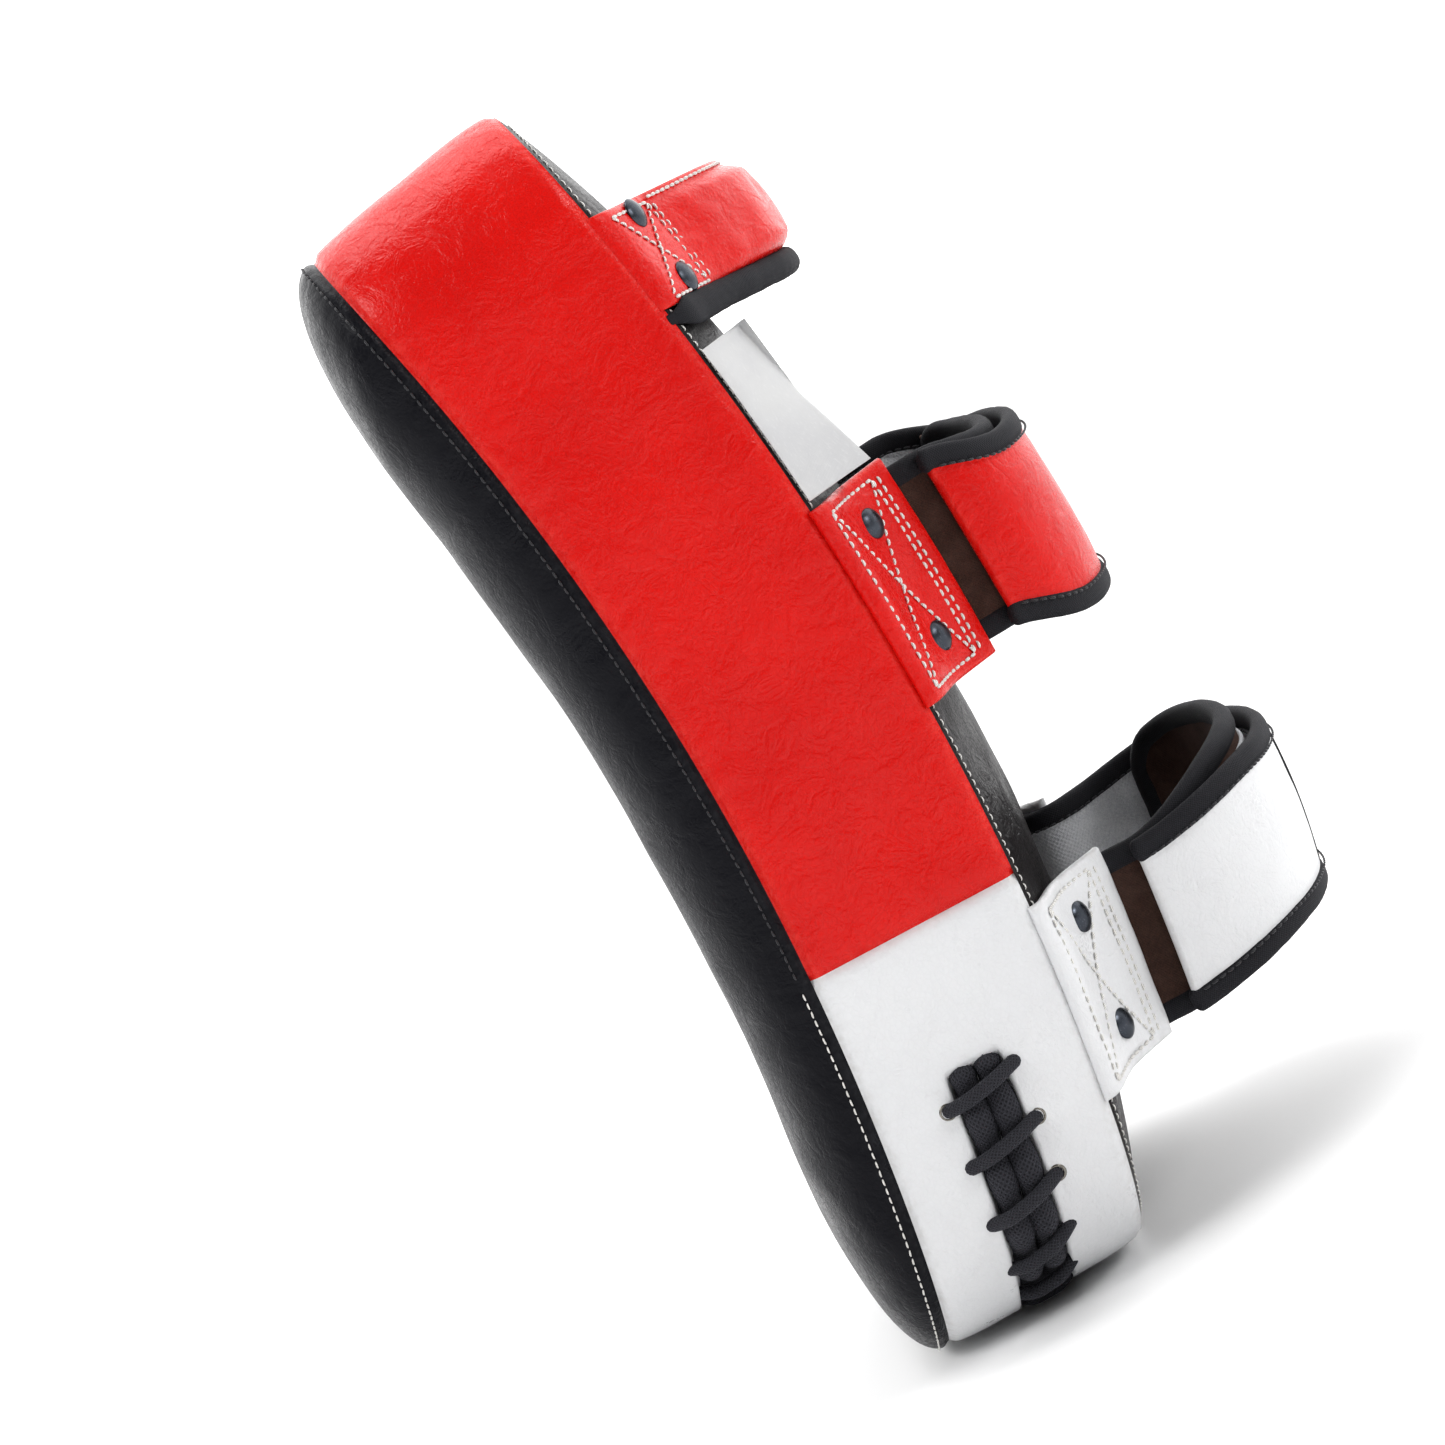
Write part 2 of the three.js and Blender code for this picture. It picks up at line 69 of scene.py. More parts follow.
SEAM_DEPTH = 1.5
TAB_THREAD = 0.52
STRAP_HALF = 22.5
TURNED_EDGE = 2.4
BINDING_OUT = 3.0
INNER_THICK = 4.6
CLOSING_THICK = 3.6
LABEL_CENTRE = 81.0
LABEL_HALF = 26.5
SEWN_END = 32.0
FLOOR_Z = -0.0026
PATH_STEP = 0.25

HW = WIDTH / 2
H = DEPTH / 2
HALF_ANGLE = math.asin(LENGTH / 2 / RADIUS)
HL = RADIUS * HALF_ANGLE


# ---- Pad space: x across, s along the bent middle, t through the depth ----
def smooth(value, low, high):
    t = np.clip((value - low) / (high - low), 0, 1)
    return t * t * (3 - 2 * t)


def place(x, s, t):
    """Metres in the CAD's frame from millimetres in the bent pad, whose upper half fans out a little."""
    x, s, t = np.broadcast_arrays(*(np.asarray(v, float) for v in (x, s, t)))
    angle = s / RADIUS
    fan = FAN * smooth(s, -HL, 0)
    y = RADIUS * (np.cos(angle) - math.cos(HALF_ANGLE)) + t - SHIFT
    z = LENGTH / 2 + (RADIUS + fan * t) * np.sin(angle)
    return np.stack([x, y, z], -1) / 1000


def along_at(z):
    return RADIUS * math.asin((z - LENGTH / 2) / RADIUS)


def outline_pieces():
    """Straights and arcs of the case's outline, clockwise from the middle of the top end."""
    top, low = HL - TOP_CORNER, -HL + BOTTOM_CORNER
    right_top, right_low = HW - TOP_CORNER, HW - BOTTOM_CORNER
    quarter = math.pi / 2
    return [
        ("line", (0, HL), (right_top, HL)),
        ("arc", (right_top, top), TOP_CORNER, quarter),
        ("line", (HW, top), (HW, low)),
        ("arc", (right_low, low), BOTTOM_CORNER, 0),
        ("line", (right_low, -HL), (-right_low, -HL)),
        ("arc", (-right_low, low), BOTTOM_CORNER, -quarter),
        ("line", (-HW, low), (-HW, top)),
        ("arc", (-right_top, top), TOP_CORNER, -2 * quarter),
        ("line", (-right_top, HL), (0, HL)),
    ]


OUTLINE = outline_pieces()
LENGTHS = [math.dist(p[1], p[2]) if p[0] == "line" else p[2] * math.pi / 2 for p in OUTLINE]
PERIMETER = sum(LENGTHS)


def outline(distance):
    """Points and tangents of the outline at distances along it."""
    d = np.mod(np.asarray(distance, float), PERIMETER)
    point = np.zeros(d.shape + (2,))
    tangent = np.zeros(d.shape + (2,))
    start = 0.0
    for piece, length in zip(OUTLINE, LENGTHS):
        inside = (d >= start - 1e-9) & (d <= start + length + 1e-9)
        run = d[inside] - start
        if piece[0] == "line":
            a, b = np.array(piece[1]), np.array(piece[2])
            way = (b - a) / length
            point[inside] = a + run[:, None] * way
            tangent[inside] = way
        else:
            centre, radius, first = piece[1], piece[2], piece[3]
            angle = first - run / radius
            point[inside] = np.stack(
                [centre[0] + radius * np.cos(angle), centre[1] + radius * np.sin(angle)], -1
            )
            tangent[inside] = np.stack([np.sin(angle), -np.cos(angle)], -1)
        start += length
    return point, tangent


def distance_at(z):
    """The distance round the outline, down the near side, at a height."""
    return HW - TOP_CORNER + TOP_CORNER * math.pi / 2 + HL - TOP_CORNER - along_at(z)


def on_wall(distance, depth, t):
    """Places at a depth inside the outline."""
    distance, depth, t = np.broadcast_arrays(*(np.asarray(v, float) for v in (distance, depth, t)))
    point, tangent = outline(distance)
    return place(point[..., 0] + tangent[..., 1] * depth, point[..., 1] - tangent[..., 0] * depth, t)


def spline(points, step=0.5):
    """A Catmull-Rom curve through 2-D or 3-D points, as evenly spaced samples."""
    p = np.array(points, float)
    p = np.vstack([2 * p[0] - p[1], p, 2 * p[-1] - p[-2]])
    dense = []
    for i in range(1, len(p) - 2):
        t = np.linspace(0, 1, 40, endpoint=False)[:, None]
        a, b, c, d = p[i - 1], p[i], p[i + 1], p[i + 2]
        dense.append(
            0.5 * ((2 * b) + (c - a) * t + (2 * a - 5 * b + 4 * c - d) * t ** 2
                   + (3 * b - a - 3 * c + d) * t ** 3)
        )
    dense = np.vstack(dense + [p[-2][None]])
    return resample(dense, step)


def resample(points, step):
    gaps = np.linalg.norm(np.diff(points, axis=0), axis=1)
    run = np.concatenate([[0], np.cumsum(gaps)])
    count = max(2, int(round(run[-1] / step)) + 1)
    even = np.linspace(0, run[-1], count)
    return np.stack([np.interp(even, run, points[:, k]) for k in range(points.shape[1])], -1)


class Path:
    """A strap's path in x and height over the back seam, by length along it."""

    def __init__(self, samples):
        self.samples = samples
        gaps = np.linalg.norm(np.diff(self.samples, axis=0), axis=1)
        self.run = np.concatenate([[0], np.cumsum(gaps)])
        self.length = self.run[-1]
        way = np.gradient(self.samples, axis=0)
        self.way = way / np.linalg.norm(way, axis=1)[:, None]

    def at(self, length, offset=0.0):
        x, h = (np.interp(length, self.run, self.samples[:, k]) for k in (0, 1))
        wx, wh = (np.interp(length, self.run, self.way[:, k]) for k in (0, 1))
        return x - wh * offset, h + wx * offset

    def shifted(self, offset):
        """The same path moved to its left by an offset."""
        return Path(resample(np.stack(self.at(self.run, offset), -1), PATH_STEP))


def curved(points):
    return Path(spline(points, PATH_STEP))


def strip(path, centre, l, v, offset=0.0, way=1.0):
    """Places on a strip by length along it and offset across, and the way out of it there."""
    (x, h), (xo, ho) = path.at(l, offset), path.at(l, offset + way)
    s = centre(h) + v
    points = place(x, s, H + h)
    return points, place(xo, s, H + ho) - points


def rough(points, scale, seed=0.0):
    """Smooth noise from -1 to 1 at points, one sample each."""
    flat = np.asarray(points, float).reshape(-1, 3) * scale + seed
    values = np.array([noise.noise(Vector(p)) for p in flat])
    return values.reshape(np.asarray(points).shape[:-1])


# ---- Meshes ----
class Build:
    """Grids gathered into one mesh, with a UV layer in metres and a wear value."""

    def __init__(self):
        self.verts, self.faces, self.uvs, self.mats, self.wear = [], [], [], [], []
        self.count = 0

    def grid(self, points, u, v, mat=0, flip=False, wear=None):
        rows, cols = points.shape[:2]
        base = self.count
        self.verts.append(points.reshape(-1, 3))
        amount = np.zeros((rows, cols)) if wear is None else np.broadcast_to(wear, (rows, cols))
        self.wear.append(amount.reshape(-1))
        self.count += rows * cols
        index = base + np.arange(rows * cols).reshape(rows, cols)
        quads = np.stack([index[:-1, :-1], index[1:, :-1], index[1:, 1:], index[:-1, 1:]], -1)
        u, v = (np.broadcast_to(a, (rows, cols)) for a in (u, v))
        uv = np.stack([u, v], -1) / 1000
        corner = np.stack([uv[:-1, :-1], uv[1:, :-1], uv[1:, 1:], uv[:-1, 1:]], 2)
        if flip:
            quads, corner = quads[..., ::-1], corner[:, :, ::-1]
        self.faces.append(quads.reshape(-1, 4))
        self.uvs.append(corner.reshape(-1, 2))
        self.mats.append(np.broadcast_to(mat, quads.shape[:2]).reshape(-1))

    def done(self, name, materials, weld=1e-6):
        verts, faces = np.vstack(self.verts), np.vstack(self.faces)
        mesh = bpy.data.meshes.new(name)
        mesh.from_pydata(verts.tolist(), [], faces.tolist())
        mesh.uv_layers.new(name="UVMap").data.foreach_set("uv", np.vstack(self.uvs).ravel())
        mesh.polygons.foreach_set("material_index", np.concatenate(self.mats).astype(np.int32))
        wear = mesh.attributes.new("wear", "FLOAT", "POINT")
        wear.data.foreach_set("value", np.concatenate(self.wear).astype(np.float32))
        for material in materials:
            mesh.materials.append(material)
        if weld:
            edit = bmesh.new()
            edit.from_mesh(mesh)
            bmesh.ops.remove_doubles(edit, verts=edit.verts, dist=weld)
            bmesh.ops.recalc_face_normals(edit, faces=edit.faces)
            edit.to_mesh(mesh)
            edit.free()
        mesh.polygons.foreach_set("use_smooth", [True] * len(mesh.polygons))
        mesh.update()
        piece = bpy.data.objects.new(name, mesh)
        bpy.context.scene.collection.objects.link(piece)
        return piece


def assign(piece, hold, slot, *nodes):
    """Give a piece its body, or hand it to a call that takes it instead, and hide the nodes that it stands
    for; slot, the name of its finish, is not used.
    """
    if nodes:
        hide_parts(*nodes)
    if callable(hold):
        hold(piece)
    else:
        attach(piece, hold)


def stops(length, rim, step):
    """Positions from 0 to length, fine within rim of both ends."""
    near = rim * np.array([0, 0.03, 0.12, 0.3, 0.6, 1.0])
    count = max(2, int(round((length - 2 * rim) / step)) + 1)
    middle = np.linspace(rim, length - rim, count)
    return np.concatenate([near[:-1], middle, (length - near[:-1])[::-1]])


def rounding(position, length, rim):
    edge = np.clip(np.minimum(position, length - position) / rim, 0, 1)
    return np.sqrt(np.clip(1 - (1 - edge) ** 2, 0, 1))


def slab(name, path, sides, thick, centre, materials, rim=1.4, step=2.0, relief=None, ends=(0, 1), wear=None):
    """A flat strip along a path with rounded rims; relief(l, v, side) adds height on each side. A second
    material covers the underside inside its turned edge."""
    low, high = ends[0] * path.length, ends[1] * path.length
    l = stops(high - low, rim, step)
    v = stops(sides[1] - sides[0], rim, step)
    ll, vv = np.meshgrid(l, v, indexing="ij")
    edge = np.minimum(rounding(ll, high - low, rim), rounding(vv, sides[1] - sides[0], rim))
    build = Build()
    for side in (1, -1):
        extra = relief(ll + low, vv + sides[0], side) if relief else 0.0
        offset = side * (thick / 2) * edge + extra * edge
        points, _ = strip(path, centre, ll + low, sides[0] + vv, offset)
        amount = None if wear is None else wear(ll + low, vv + sides[0])
        from_edge = np.minimum.reduce([ll, high - low - ll, vv, sides[1] - sides[0] - vv])[:-1, :-1]
        mat = 0 if side > 0 or len(materials) < 2 else np.where(from_edge < TURNED_EDGE, 0, 1)
        build.grid(points, ll, vv, mat, side < 0, amount)
    return build.done(name, materials)


def frames(points, normals):
    """Unit vectors along, across and up at each point of a route."""
    tangent = np.gradient(points, axis=0)
    tangent /= np.linalg.norm(tangent, axis=1)[:, None] + 1e-12
    up = normals - (normals * tangent).sum(1)[:, None] * tangent
    up /= np.linalg.norm(up, axis=1)[:, None] + 1e-12
    return tangent, np.cross(tangent, up), up


def sweep(build, points, normals, section, scale=None, ripple=None):
    """A closed section (mm, across and up) carried along points (m), with rounded ends."""
    tangent, across, up = frames(points, normals)
    size = np.ones((len(points), 2)) if scale is None else np.asarray(scale, float)
    size = size if size.ndim == 2 else np.stack([size, size], -1)
    reach = section[:, 1].max() / 1000
    turns = np.linspace(0, math.pi / 2, 6)[1:]

    def cap(i, way):
        return [(points[i] + way * tangent[i] * reach * size[i, 1] * math.sin(a) * 0.8, across[i], up[i],
                 size[i] * max(math.cos(a), 0.01)) for a in turns]

    rows = cap(0, -1)[::-1] + list(zip(points, across, up, size)) + cap(-1, 1)
    loop = np.vstack([section, section[:1]]) / 1000
    grid = np.array([p + k[0] * loop[:, :1] * a + k[1] * loop[:, 1:] * b for p, a, b, k in rows])
    gaps = np.linalg.norm(np.diff(np.array([r[0] for r in rows]), axis=0), axis=1)
    run = np.concatenate([[0], np.cumsum(gaps)]) * 1000
    around = np.concatenate([[0], np.cumsum(np.linalg.norm(np.diff(loop, axis=0), axis=1))]) * 1000
    if ripple is not None:
        middle = grid[:, :-1].mean(1, keepdims=True)
        grid = middle + (grid - middle) * (1 + ripple(grid))[..., None]
        grid[:, -1] = grid[:, 0]
    build.grid(grid, run[:, None], around[None, :])


def oval(width, height, sides=14, power=2.0):
    angle = np.linspace(0, 2 * math.pi, sides, endpoint=False)
    c, s = np.cos(angle), np.sin(angle)
    return np.stack([
        width / 2 * np.sign(c) * np.abs(c) ** (2 / power),
        height / 2 * np.sign(s) * np.abs(s) ** (2 / power),
    ], -1)


def stitches(name, lines, material, hold, pitch=3.0, radius=0.42):
    """Rows of thread stitches; each line is (points in metres, normals)."""
    build = Build()
    share, lift = 0.78, 0.25
    position = np.array([-0.5, -0.4, -0.22, 0, 0.22, 0.4, 0.5])
    width = np.array([0.15, 0.75, 1.0, 1.0, 1.0, 0.75, 0.15])
    rise = np.array([-0.7, 0.0, 0.8, 1.0, 0.8, 0.0, -0.7])
    circle = oval(2, 2, 6)
    for points, normals in lines:
        gaps = np.linalg.norm(np.diff(points, axis=0), axis=1)
        run = np.concatenate([[0], np.cumsum(gaps)]) * 1000
        _, across, up = frames(points, normals)
        count = max(1, int(run[-1] / pitch))
        real = run[-1] / count
        for k in range(count):
            middle = (k + 0.5) * real
            wobble = 0.16 * noise.noise(points[0] * 900 + Vector((k * 0.7, 0, 0)))
            where = middle + position * real * share
            spot, a, b = (np.stack([np.interp(where, run, rows[:, j]) for j in range(3)], -1)
                          for rows in (points, across, up))
            spot = spot + (b * (rise * lift)[:, None] + a * wobble * position[:, None] * 2) / 1000
            ring = width[:, None, None] * radius / 1000 * (
                circle[None, :, :1] * a[:, None] + circle[None, :, 1:] * b[:, None] * 0.8
            )
            tube = spot[:, None] + np.concatenate([ring, ring[:, :1]], 1)
            build.grid(tube, where[:, None], np.arange(7)[None, :] * 0.4)
    piece = build.done(name, [material], weld=None)
    if callable(hold):
        hold(piece)
    else:
        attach(piece, hold)


# ---- Materials ----
class Shade:
    """A node tree written top down."""

    def __init__(self, name):
        self.material = bpy.data.materials.new(name)
        self.material.use_nodes = True
        self.tree = self.material.node_tree
        self.tree.nodes.clear()
        self.shader = self.node("ShaderNodeBsdfPrincipled")
        output = self.node("ShaderNodeOutputMaterial")
        self.tree.links.new(self.shader.outputs[0], output.inputs["Surface"])
        self.normal = None

    def node(self, kind, **values):
        made = self.tree.nodes.new(kind)
        for key, value in values.items():
            setattr(made, key, value)
        return made

    def link(self, source, target):
        if isinstance(source, (int, float, tuple)):
            target.default_value = source
        else:
            self.tree.links.new(source, target)

    def object_space(self):
        return self.node("ShaderNodeTexCoord").outputs["Object"]

    def uv(self):
        return self.node("ShaderNodeUVMap", uv_map="UVMap").outputs[0]

    def split(self, vector):
        made = self.node("ShaderNodeSeparateXYZ")
        self.link(vector, made.inputs[0])
        return made.outputs

    def stretch(self, vector, scale):
        made = self.node("ShaderNodeMapping")
        made.inputs["Scale"].default_value = scale
        self.link(vector, made.inputs["Vector"])
        return made.outputs[0]

    def noise(self, vector, scale, detail=4.0, roughness=0.55, distortion=0.0):
        made = self.node("ShaderNodeTexNoise")
        for key, value in (("Scale", scale), ("Detail", detail), ("Roughness", roughness),
                           ("Distortion", distortion)):
            made.inputs[key].default_value = value
        self.link(vector, made.inputs["Vector"])
        return made.outputs["Fac"]

    def cells(self, vector, scale, feature="F1"):
        made = self.node("ShaderNodeTexVoronoi", feature=feature)
        made.inputs["Scale"].default_value = scale
        self.link(vector, made.inputs["Vector"])
        return made.outputs["Distance"]

    def math(self, operation, a, b=0.0, clamp=False):
        made = self.node("ShaderNodeMath", operation=operation, use_clamp=clamp)
        self.link(a, made.inputs[0])
        self.link(b, made.inputs[1])
        return made.outputs[0]

    def span(self, value, low, high, to_low=0.0, to_high=1.0):
        made = self.node("ShaderNodeMapRange", interpolation_type="SMOOTHSTEP")
        for key, amount in (("From Min", low), ("From Max", high), ("To Min", to_low), ("To Max", to_high)):
            made.inputs[key].default_value = amount
        self.link(value, made.inputs["Value"])
        return made.outputs[0]

    def wave(self, value, period, phase=0.0):
        """A sine from -1 to 1 with that period in metres."""
        turned = self.math("MULTIPLY_ADD", value, 2 * math.pi / period)
        turned.node.inputs[2].default_value = phase
        return self.math("SINE", turned)

    def mix(self, factor, a, b):
        made = self.node("ShaderNodeMix", data_type="RGBA")
        self.link(factor, made.inputs[0])
        self.link(a, made.inputs[6])
        self.link(b, made.inputs[7])
        return made.outputs[2]

    def wear(self):
        return self.node("ShaderNodeAttribute", attribute_name="wear").outputs["Fac"]

    def bump(self, height, distance, strength=1.0):
        made = self.node("ShaderNodeBump")
        made.inputs["Distance"].default_value = distance
        made.inputs["Strength"].default_value = strength
        self.link(height, made.inputs["Height"])
        if self.normal is not None:
            self.link(self.normal, made.inputs["Normal"])
        self.normal = made.outputs[0]

    def finish(self, colour, roughness, **sockets):
        self.link(colour, self.shader.inputs["Base Color"])
        self.link(roughness, self.shader.inputs["Roughness"])
        if self.normal is not None:
            self.link(self.normal, self.shader.inputs["Normal"])
        for key, value in sockets.items():
            self.shader.inputs[key.replace("_", " ")].default_value = value
        return self.material


def leather(name, base, deep_tone_and_crease_shade, worn, gloss, crease=0.42, coat=0.06, specular=0.4):
    """Coated leather: pebbles with creases between them, painted shade in those creases, pores, soft wrinkles
    and rubbed edges.
    """
    grain, pebble, stray = 560, 0.2, 0.0016
    shade = Shade(name)
    space = shade.object_space()
    bent = shade.node("ShaderNodeVectorMath", operation="MULTIPLY_ADD")
    drift = shade.node("ShaderNodeTexNoise")
    drift.inputs["Scale"].default_value = 160
    shade.link(space, drift.inputs["Vector"])
    shade.link(drift.outputs["Color"], bent.inputs[0])
    bent.inputs[1].default_value = (stray, stray, stray)
    shade.link(space, bent.inputs[2])
    edges = shade.cells(bent.outputs[0], grain, "DISTANCE_TO_EDGE")
    ditch = shade.span(edges, 0.0, 0.16)
    pores = shade.noise(space, 2600, 3)
    folds = shade.noise(space, 95, 5, 0.6, 0.6)
    ridged = shade.math("ABSOLUTE", shade.math("SUBTRACT", folds, 0.5))
    patches = shade.noise(space, 22, 3)
    shade.bump(shade.span(ridged, 0.0, 0.12), 0.0004, crease)
    shade.bump(ditch, 0.00016, pebble)
    shade.bump(pores, 0.00008, 0.25)
    tone = shade.mix(shade.span(patches, 0.3, 0.7, 0.0, 0.35), base, deep_tone_and_crease_shade)
    # Painted shade: the creases between the pebbles are darkened toward the deep colour.
    tone = shade.mix(shade.math("MULTIPLY", shade.math("SUBTRACT", 1.0, ditch), 0.15), tone, deep_tone_and_crease_shade)
    rubbed = shade.math("MULTIPLY", shade.wear(), shade.span(shade.noise(space, 420, 4), 0.35, 0.7), True)
    tone = shade.mix(rubbed, tone, worn)
    uneven = shade.span(shade.noise(space, 60, 3), 0.25, 0.75, gloss - 0.06, gloss + 0.07)
    shine = shade.math("ADD", uneven, shade.math("MULTIPLY", shade.math("SUBTRACT", 1.0, ditch), 0.12))
    return shade.finish(tone, shine, Coat_Weight=coat, Coat_Roughness=0.2, Specular_IOR_Level=specular)


def woven(name, base, dark, light, rib, cross, depth, sheen, braid=False):
    """Woven tape or braid: threads across each other in the piece's own length and width, with painted shade
    between them.
    """
    shade = Shade(name)
    u, v, _ = shade.split(shade.uv())
    if braid:
        first = shade.wave(shade.math("ADD", u, v), rib / 1000)
        second = shade.wave(shade.math("SUBTRACT", u, v), cross / 1000)
        threads = shade.math("MAXIMUM", first, second)
    else:
        first = shade.wave(u, rib / 1000)
        second = shade.wave(v, cross / 1000, 0.8)
        threads = shade.math("MULTIPLY", first, second)
    height = shade.span(threads, -1.0, 1.0)
    space = shade.object_space()
    fuzz = shade.noise(space, 2400, 5, 0.7)
    dust = shade.noise(space, 70, 4)
    shade.bump(height, depth, 0.8)
    shade.bump(fuzz, 0.00012, 0.5)
    # Painted shade: the colour darkens where the threads dip, between them.
    tone = shade.mix(height, dark, base)
    fibre = shade.math("MULTIPLY", shade.span(fuzz, 0.5, 0.8), shade.span(dust, 0.3, 0.7, 0.2, 0.6))
    tone = shade.mix(fibre, tone, light)
    shine = shade.span(fuzz, 0.3, 0.7, 0.7, 0.88)
    material = shade.finish(tone, shine, Sheen_Weight=sheen, Sheen_Roughness=0.5, Specular_IOR_Level=0.35)
    shade.shader.inputs["Sheen Tint"].default_value = light
    return material


def cloth_lining(name, base, dark, light, period=0.9, pile=0.0003):
    """Brushed lining or pile: a knit in rows under short fibres."""
    shade = Shade(name)
    u, v, _ = shade.split(shade.uv())
    rows = shade.math("MULTIPLY", shade.wave(u, period / 1000), shade.wave(v, 1.3 * period / 1000))
    space = shade.object_space()
    fibres = shade.noise(space, 1500, 6, 0.75, 1.2)
    mottled = shade.noise(space, 120, 4)
    shade.bump(shade.span(rows, -1, 1), pile * 0.7, 0.5)
    shade.bump(fibres, pile, 0.7)
    tone = shade.mix(shade.span(fibres, 0.35, 0.65), dark, base)
    tone = shade.mix(shade.span(mottled, 0.35, 0.75, 0.0, 0.35), tone, light)
    shine = shade.span(fibres, 0.3, 0.7, 0.79, 0.93)
    material = shade.finish(tone, shine, Sheen_Weight=0.4, Sheen_Roughness=0.6, Specular_IOR_Level=0.3)
    shade.shader.inputs["Sheen Tint"].default_value = light
    return material


def thread(name, base, dark):
    shade = Shade(name)
    u, v, _ = shade.split(shade.uv())
    twist = shade.wave(shade.math("ADD", u, v), 0.0007)
    space = shade.object_space()
    fuzz = shade.noise(space, 3000, 4)
    shade.bump(shade.span(twist, -1, 1), 0.0001, 0.7)
    # Painted shade: the colour darkens in the grooves of the twist.
    tone = shade.mix(shade.span(twist, -1, 0.6), dark, base)
    shine = shade.span(fuzz, 0.3, 0.7, 0.5, 0.72)
    return shade.finish(tone, shine, Sheen_Weight=0.2, Specular_IOR_Level=0.4)


def plated(name, base, light, rough_low, rough_high):
    """Plated metal with fine scratches, smudges and a little wear on its high spots."""
    shade = Shade(name)
    space = shade.object_space()
    scratches = shade.noise(shade.stretch(space, (900, 3200, 900)), 1.0, 4, 0.7)
    smudge = shade.noise(space, 240, 4)
    shade.bump(scratches, 0.00003, 0.35)
    tone = shade.mix(shade.span(scratches, 0.55, 0.75, 0.0, 0.6), base, light)
    shine = shade.span(smudge, 0.3, 0.7, rough_low, rough_high)
    return shade.finish(tone, shine, Metallic=0.85, Specular_IOR_Level=0.5)


def satin(name, base, dark, light):
    shade = Shade(name)
    u, v, _ = shade.split(shade.uv())
    warp = shade.wave(u, 0.00042)
    weft = shade.wave(v, 0.0006)
    space = shade.object_space()
    soft = shade.noise(space, 55, 4)
    fibre = shade.noise(shade.stretch(space, (2600, 600, 600)), 1.0, 3)
    shade.bump(shade.math("MULTIPLY", warp, weft), 0.00005, 0.5)
    shade.bump(fibre, 0.00005, 0.4)
    tone = shade.mix(shade.span(soft, 0.3, 0.7, 0.0, 0.5), base, dark)
    tone = shade.mix(shade.span(fibre, 0.5, 0.8, 0.0, 0.4), tone, light)
    shine = shade.span(fibre, 0.3, 0.7, 0.36, 0.52)
    return shade.finish(tone, shine, Sheen_Weight=0.25, Specular_IOR_Level=0.45)


def floor_finish(name, base, shadow):
    shade = Shade(name)
    space = shade.object_space()
    cloud = shade.noise(space, 3, 4)
    fine = shade.noise(space, 380, 4)
    shade.bump(fine, 0.0001, 0.15)
    tone = shade.mix(shade.span(cloud, 0.3, 0.7, 0.0, 0.3), base, shadow)
    return shade.finish(tone, shade.span(fine, 0.3, 0.7, 0.75, 0.88), Specular_IOR_Level=0.2)


RED = leather("red_leather", (0.62, 0.009, 0.006, 1), (0.45, 0.003, 0.003, 1), (0.7, 0.045, 0.03, 1), 0.22,
              coat=0.04, specular=0.24)
WHITE = leather("white_leather", (0.7, 0.705, 0.715, 1), (0.62, 0.625, 0.64, 1), (0.55, 0.54, 0.53, 1), 0.32,
                crease=0.35)
BLACK = leather("black_leather", (0.008, 0.008, 0.011, 1), (0.004, 0.004, 0.006, 1), (0.03, 0.03, 0.034, 1),
                0.3, coat=0.0, specular=0.14, crease=0.25)
BROWN_BLACK = leather("arm_leather", (0.014, 0.012, 0.013, 1), (0.007, 0.006, 0.006, 1),
                      (0.05, 0.044, 0.04, 1), 0.36, coat=0.0, specular=0.16)
BINDING = woven("binding_tape", (0.02, 0.02, 0.025, 1), (0.008, 0.008, 0.01, 1), (0.06, 0.06, 0.068, 1),
                0.8, 1.1, 0.00014, 0.16)
WELT = woven("woven_welt", (0.032, 0.032, 0.04, 1), (0.008, 0.008, 0.011, 1), (0.15, 0.15, 0.17, 1),
             1.5, 1.5, 0.0005, 0.4, braid=True)
BRAID = woven("lace_braid", (0.03, 0.03, 0.037, 1), (0.009, 0.009, 0.012, 1), (0.13, 0.13, 0.15, 1),
              1.25, 1.25, 0.00035, 0.4, braid=True)
LINING = cloth_lining("brown_lining", (0.07, 0.036, 0.026, 1), (0.032, 0.016, 0.012, 1),
                      (0.13, 0.08, 0.065, 1))
LOOP = cloth_lining("loop_pile", (0.7, 0.71, 0.73, 1), (0.48, 0.49, 0.52, 1), (0.86, 0.87, 0.88, 1), 1.4,
                    pile=0.0005)
HOOK = cloth_lining("hook_tape", (0.05, 0.05, 0.056, 1), (0.012, 0.012, 0.015, 1), (0.12, 0.12, 0.13, 1), 1.1,
                    pile=0.0005)
WHITE_THREAD = thread("white_thread", (0.84, 0.83, 0.8, 1), (0.5, 0.48, 0.45, 1))
BLACK_THREAD = thread("black_thread", (0.035, 0.035, 0.04, 1), (0.012, 0.012, 0.014, 1))
METAL = plated("gunmetal", (0.055, 0.062, 0.075, 1), (0.2, 0.21, 0.23, 1), 0.2, 0.42)
NICKEL = plated("eyelet_metal", (0.2, 0.19, 0.17, 1), (0.5, 0.48, 0.44, 1), 0.15, 0.3)
SATIN = satin("white_satin", (0.56, 0.56, 0.56, 1), (0.46, 0.46, 0.48, 1), (0.66, 0.66, 0.66, 1))


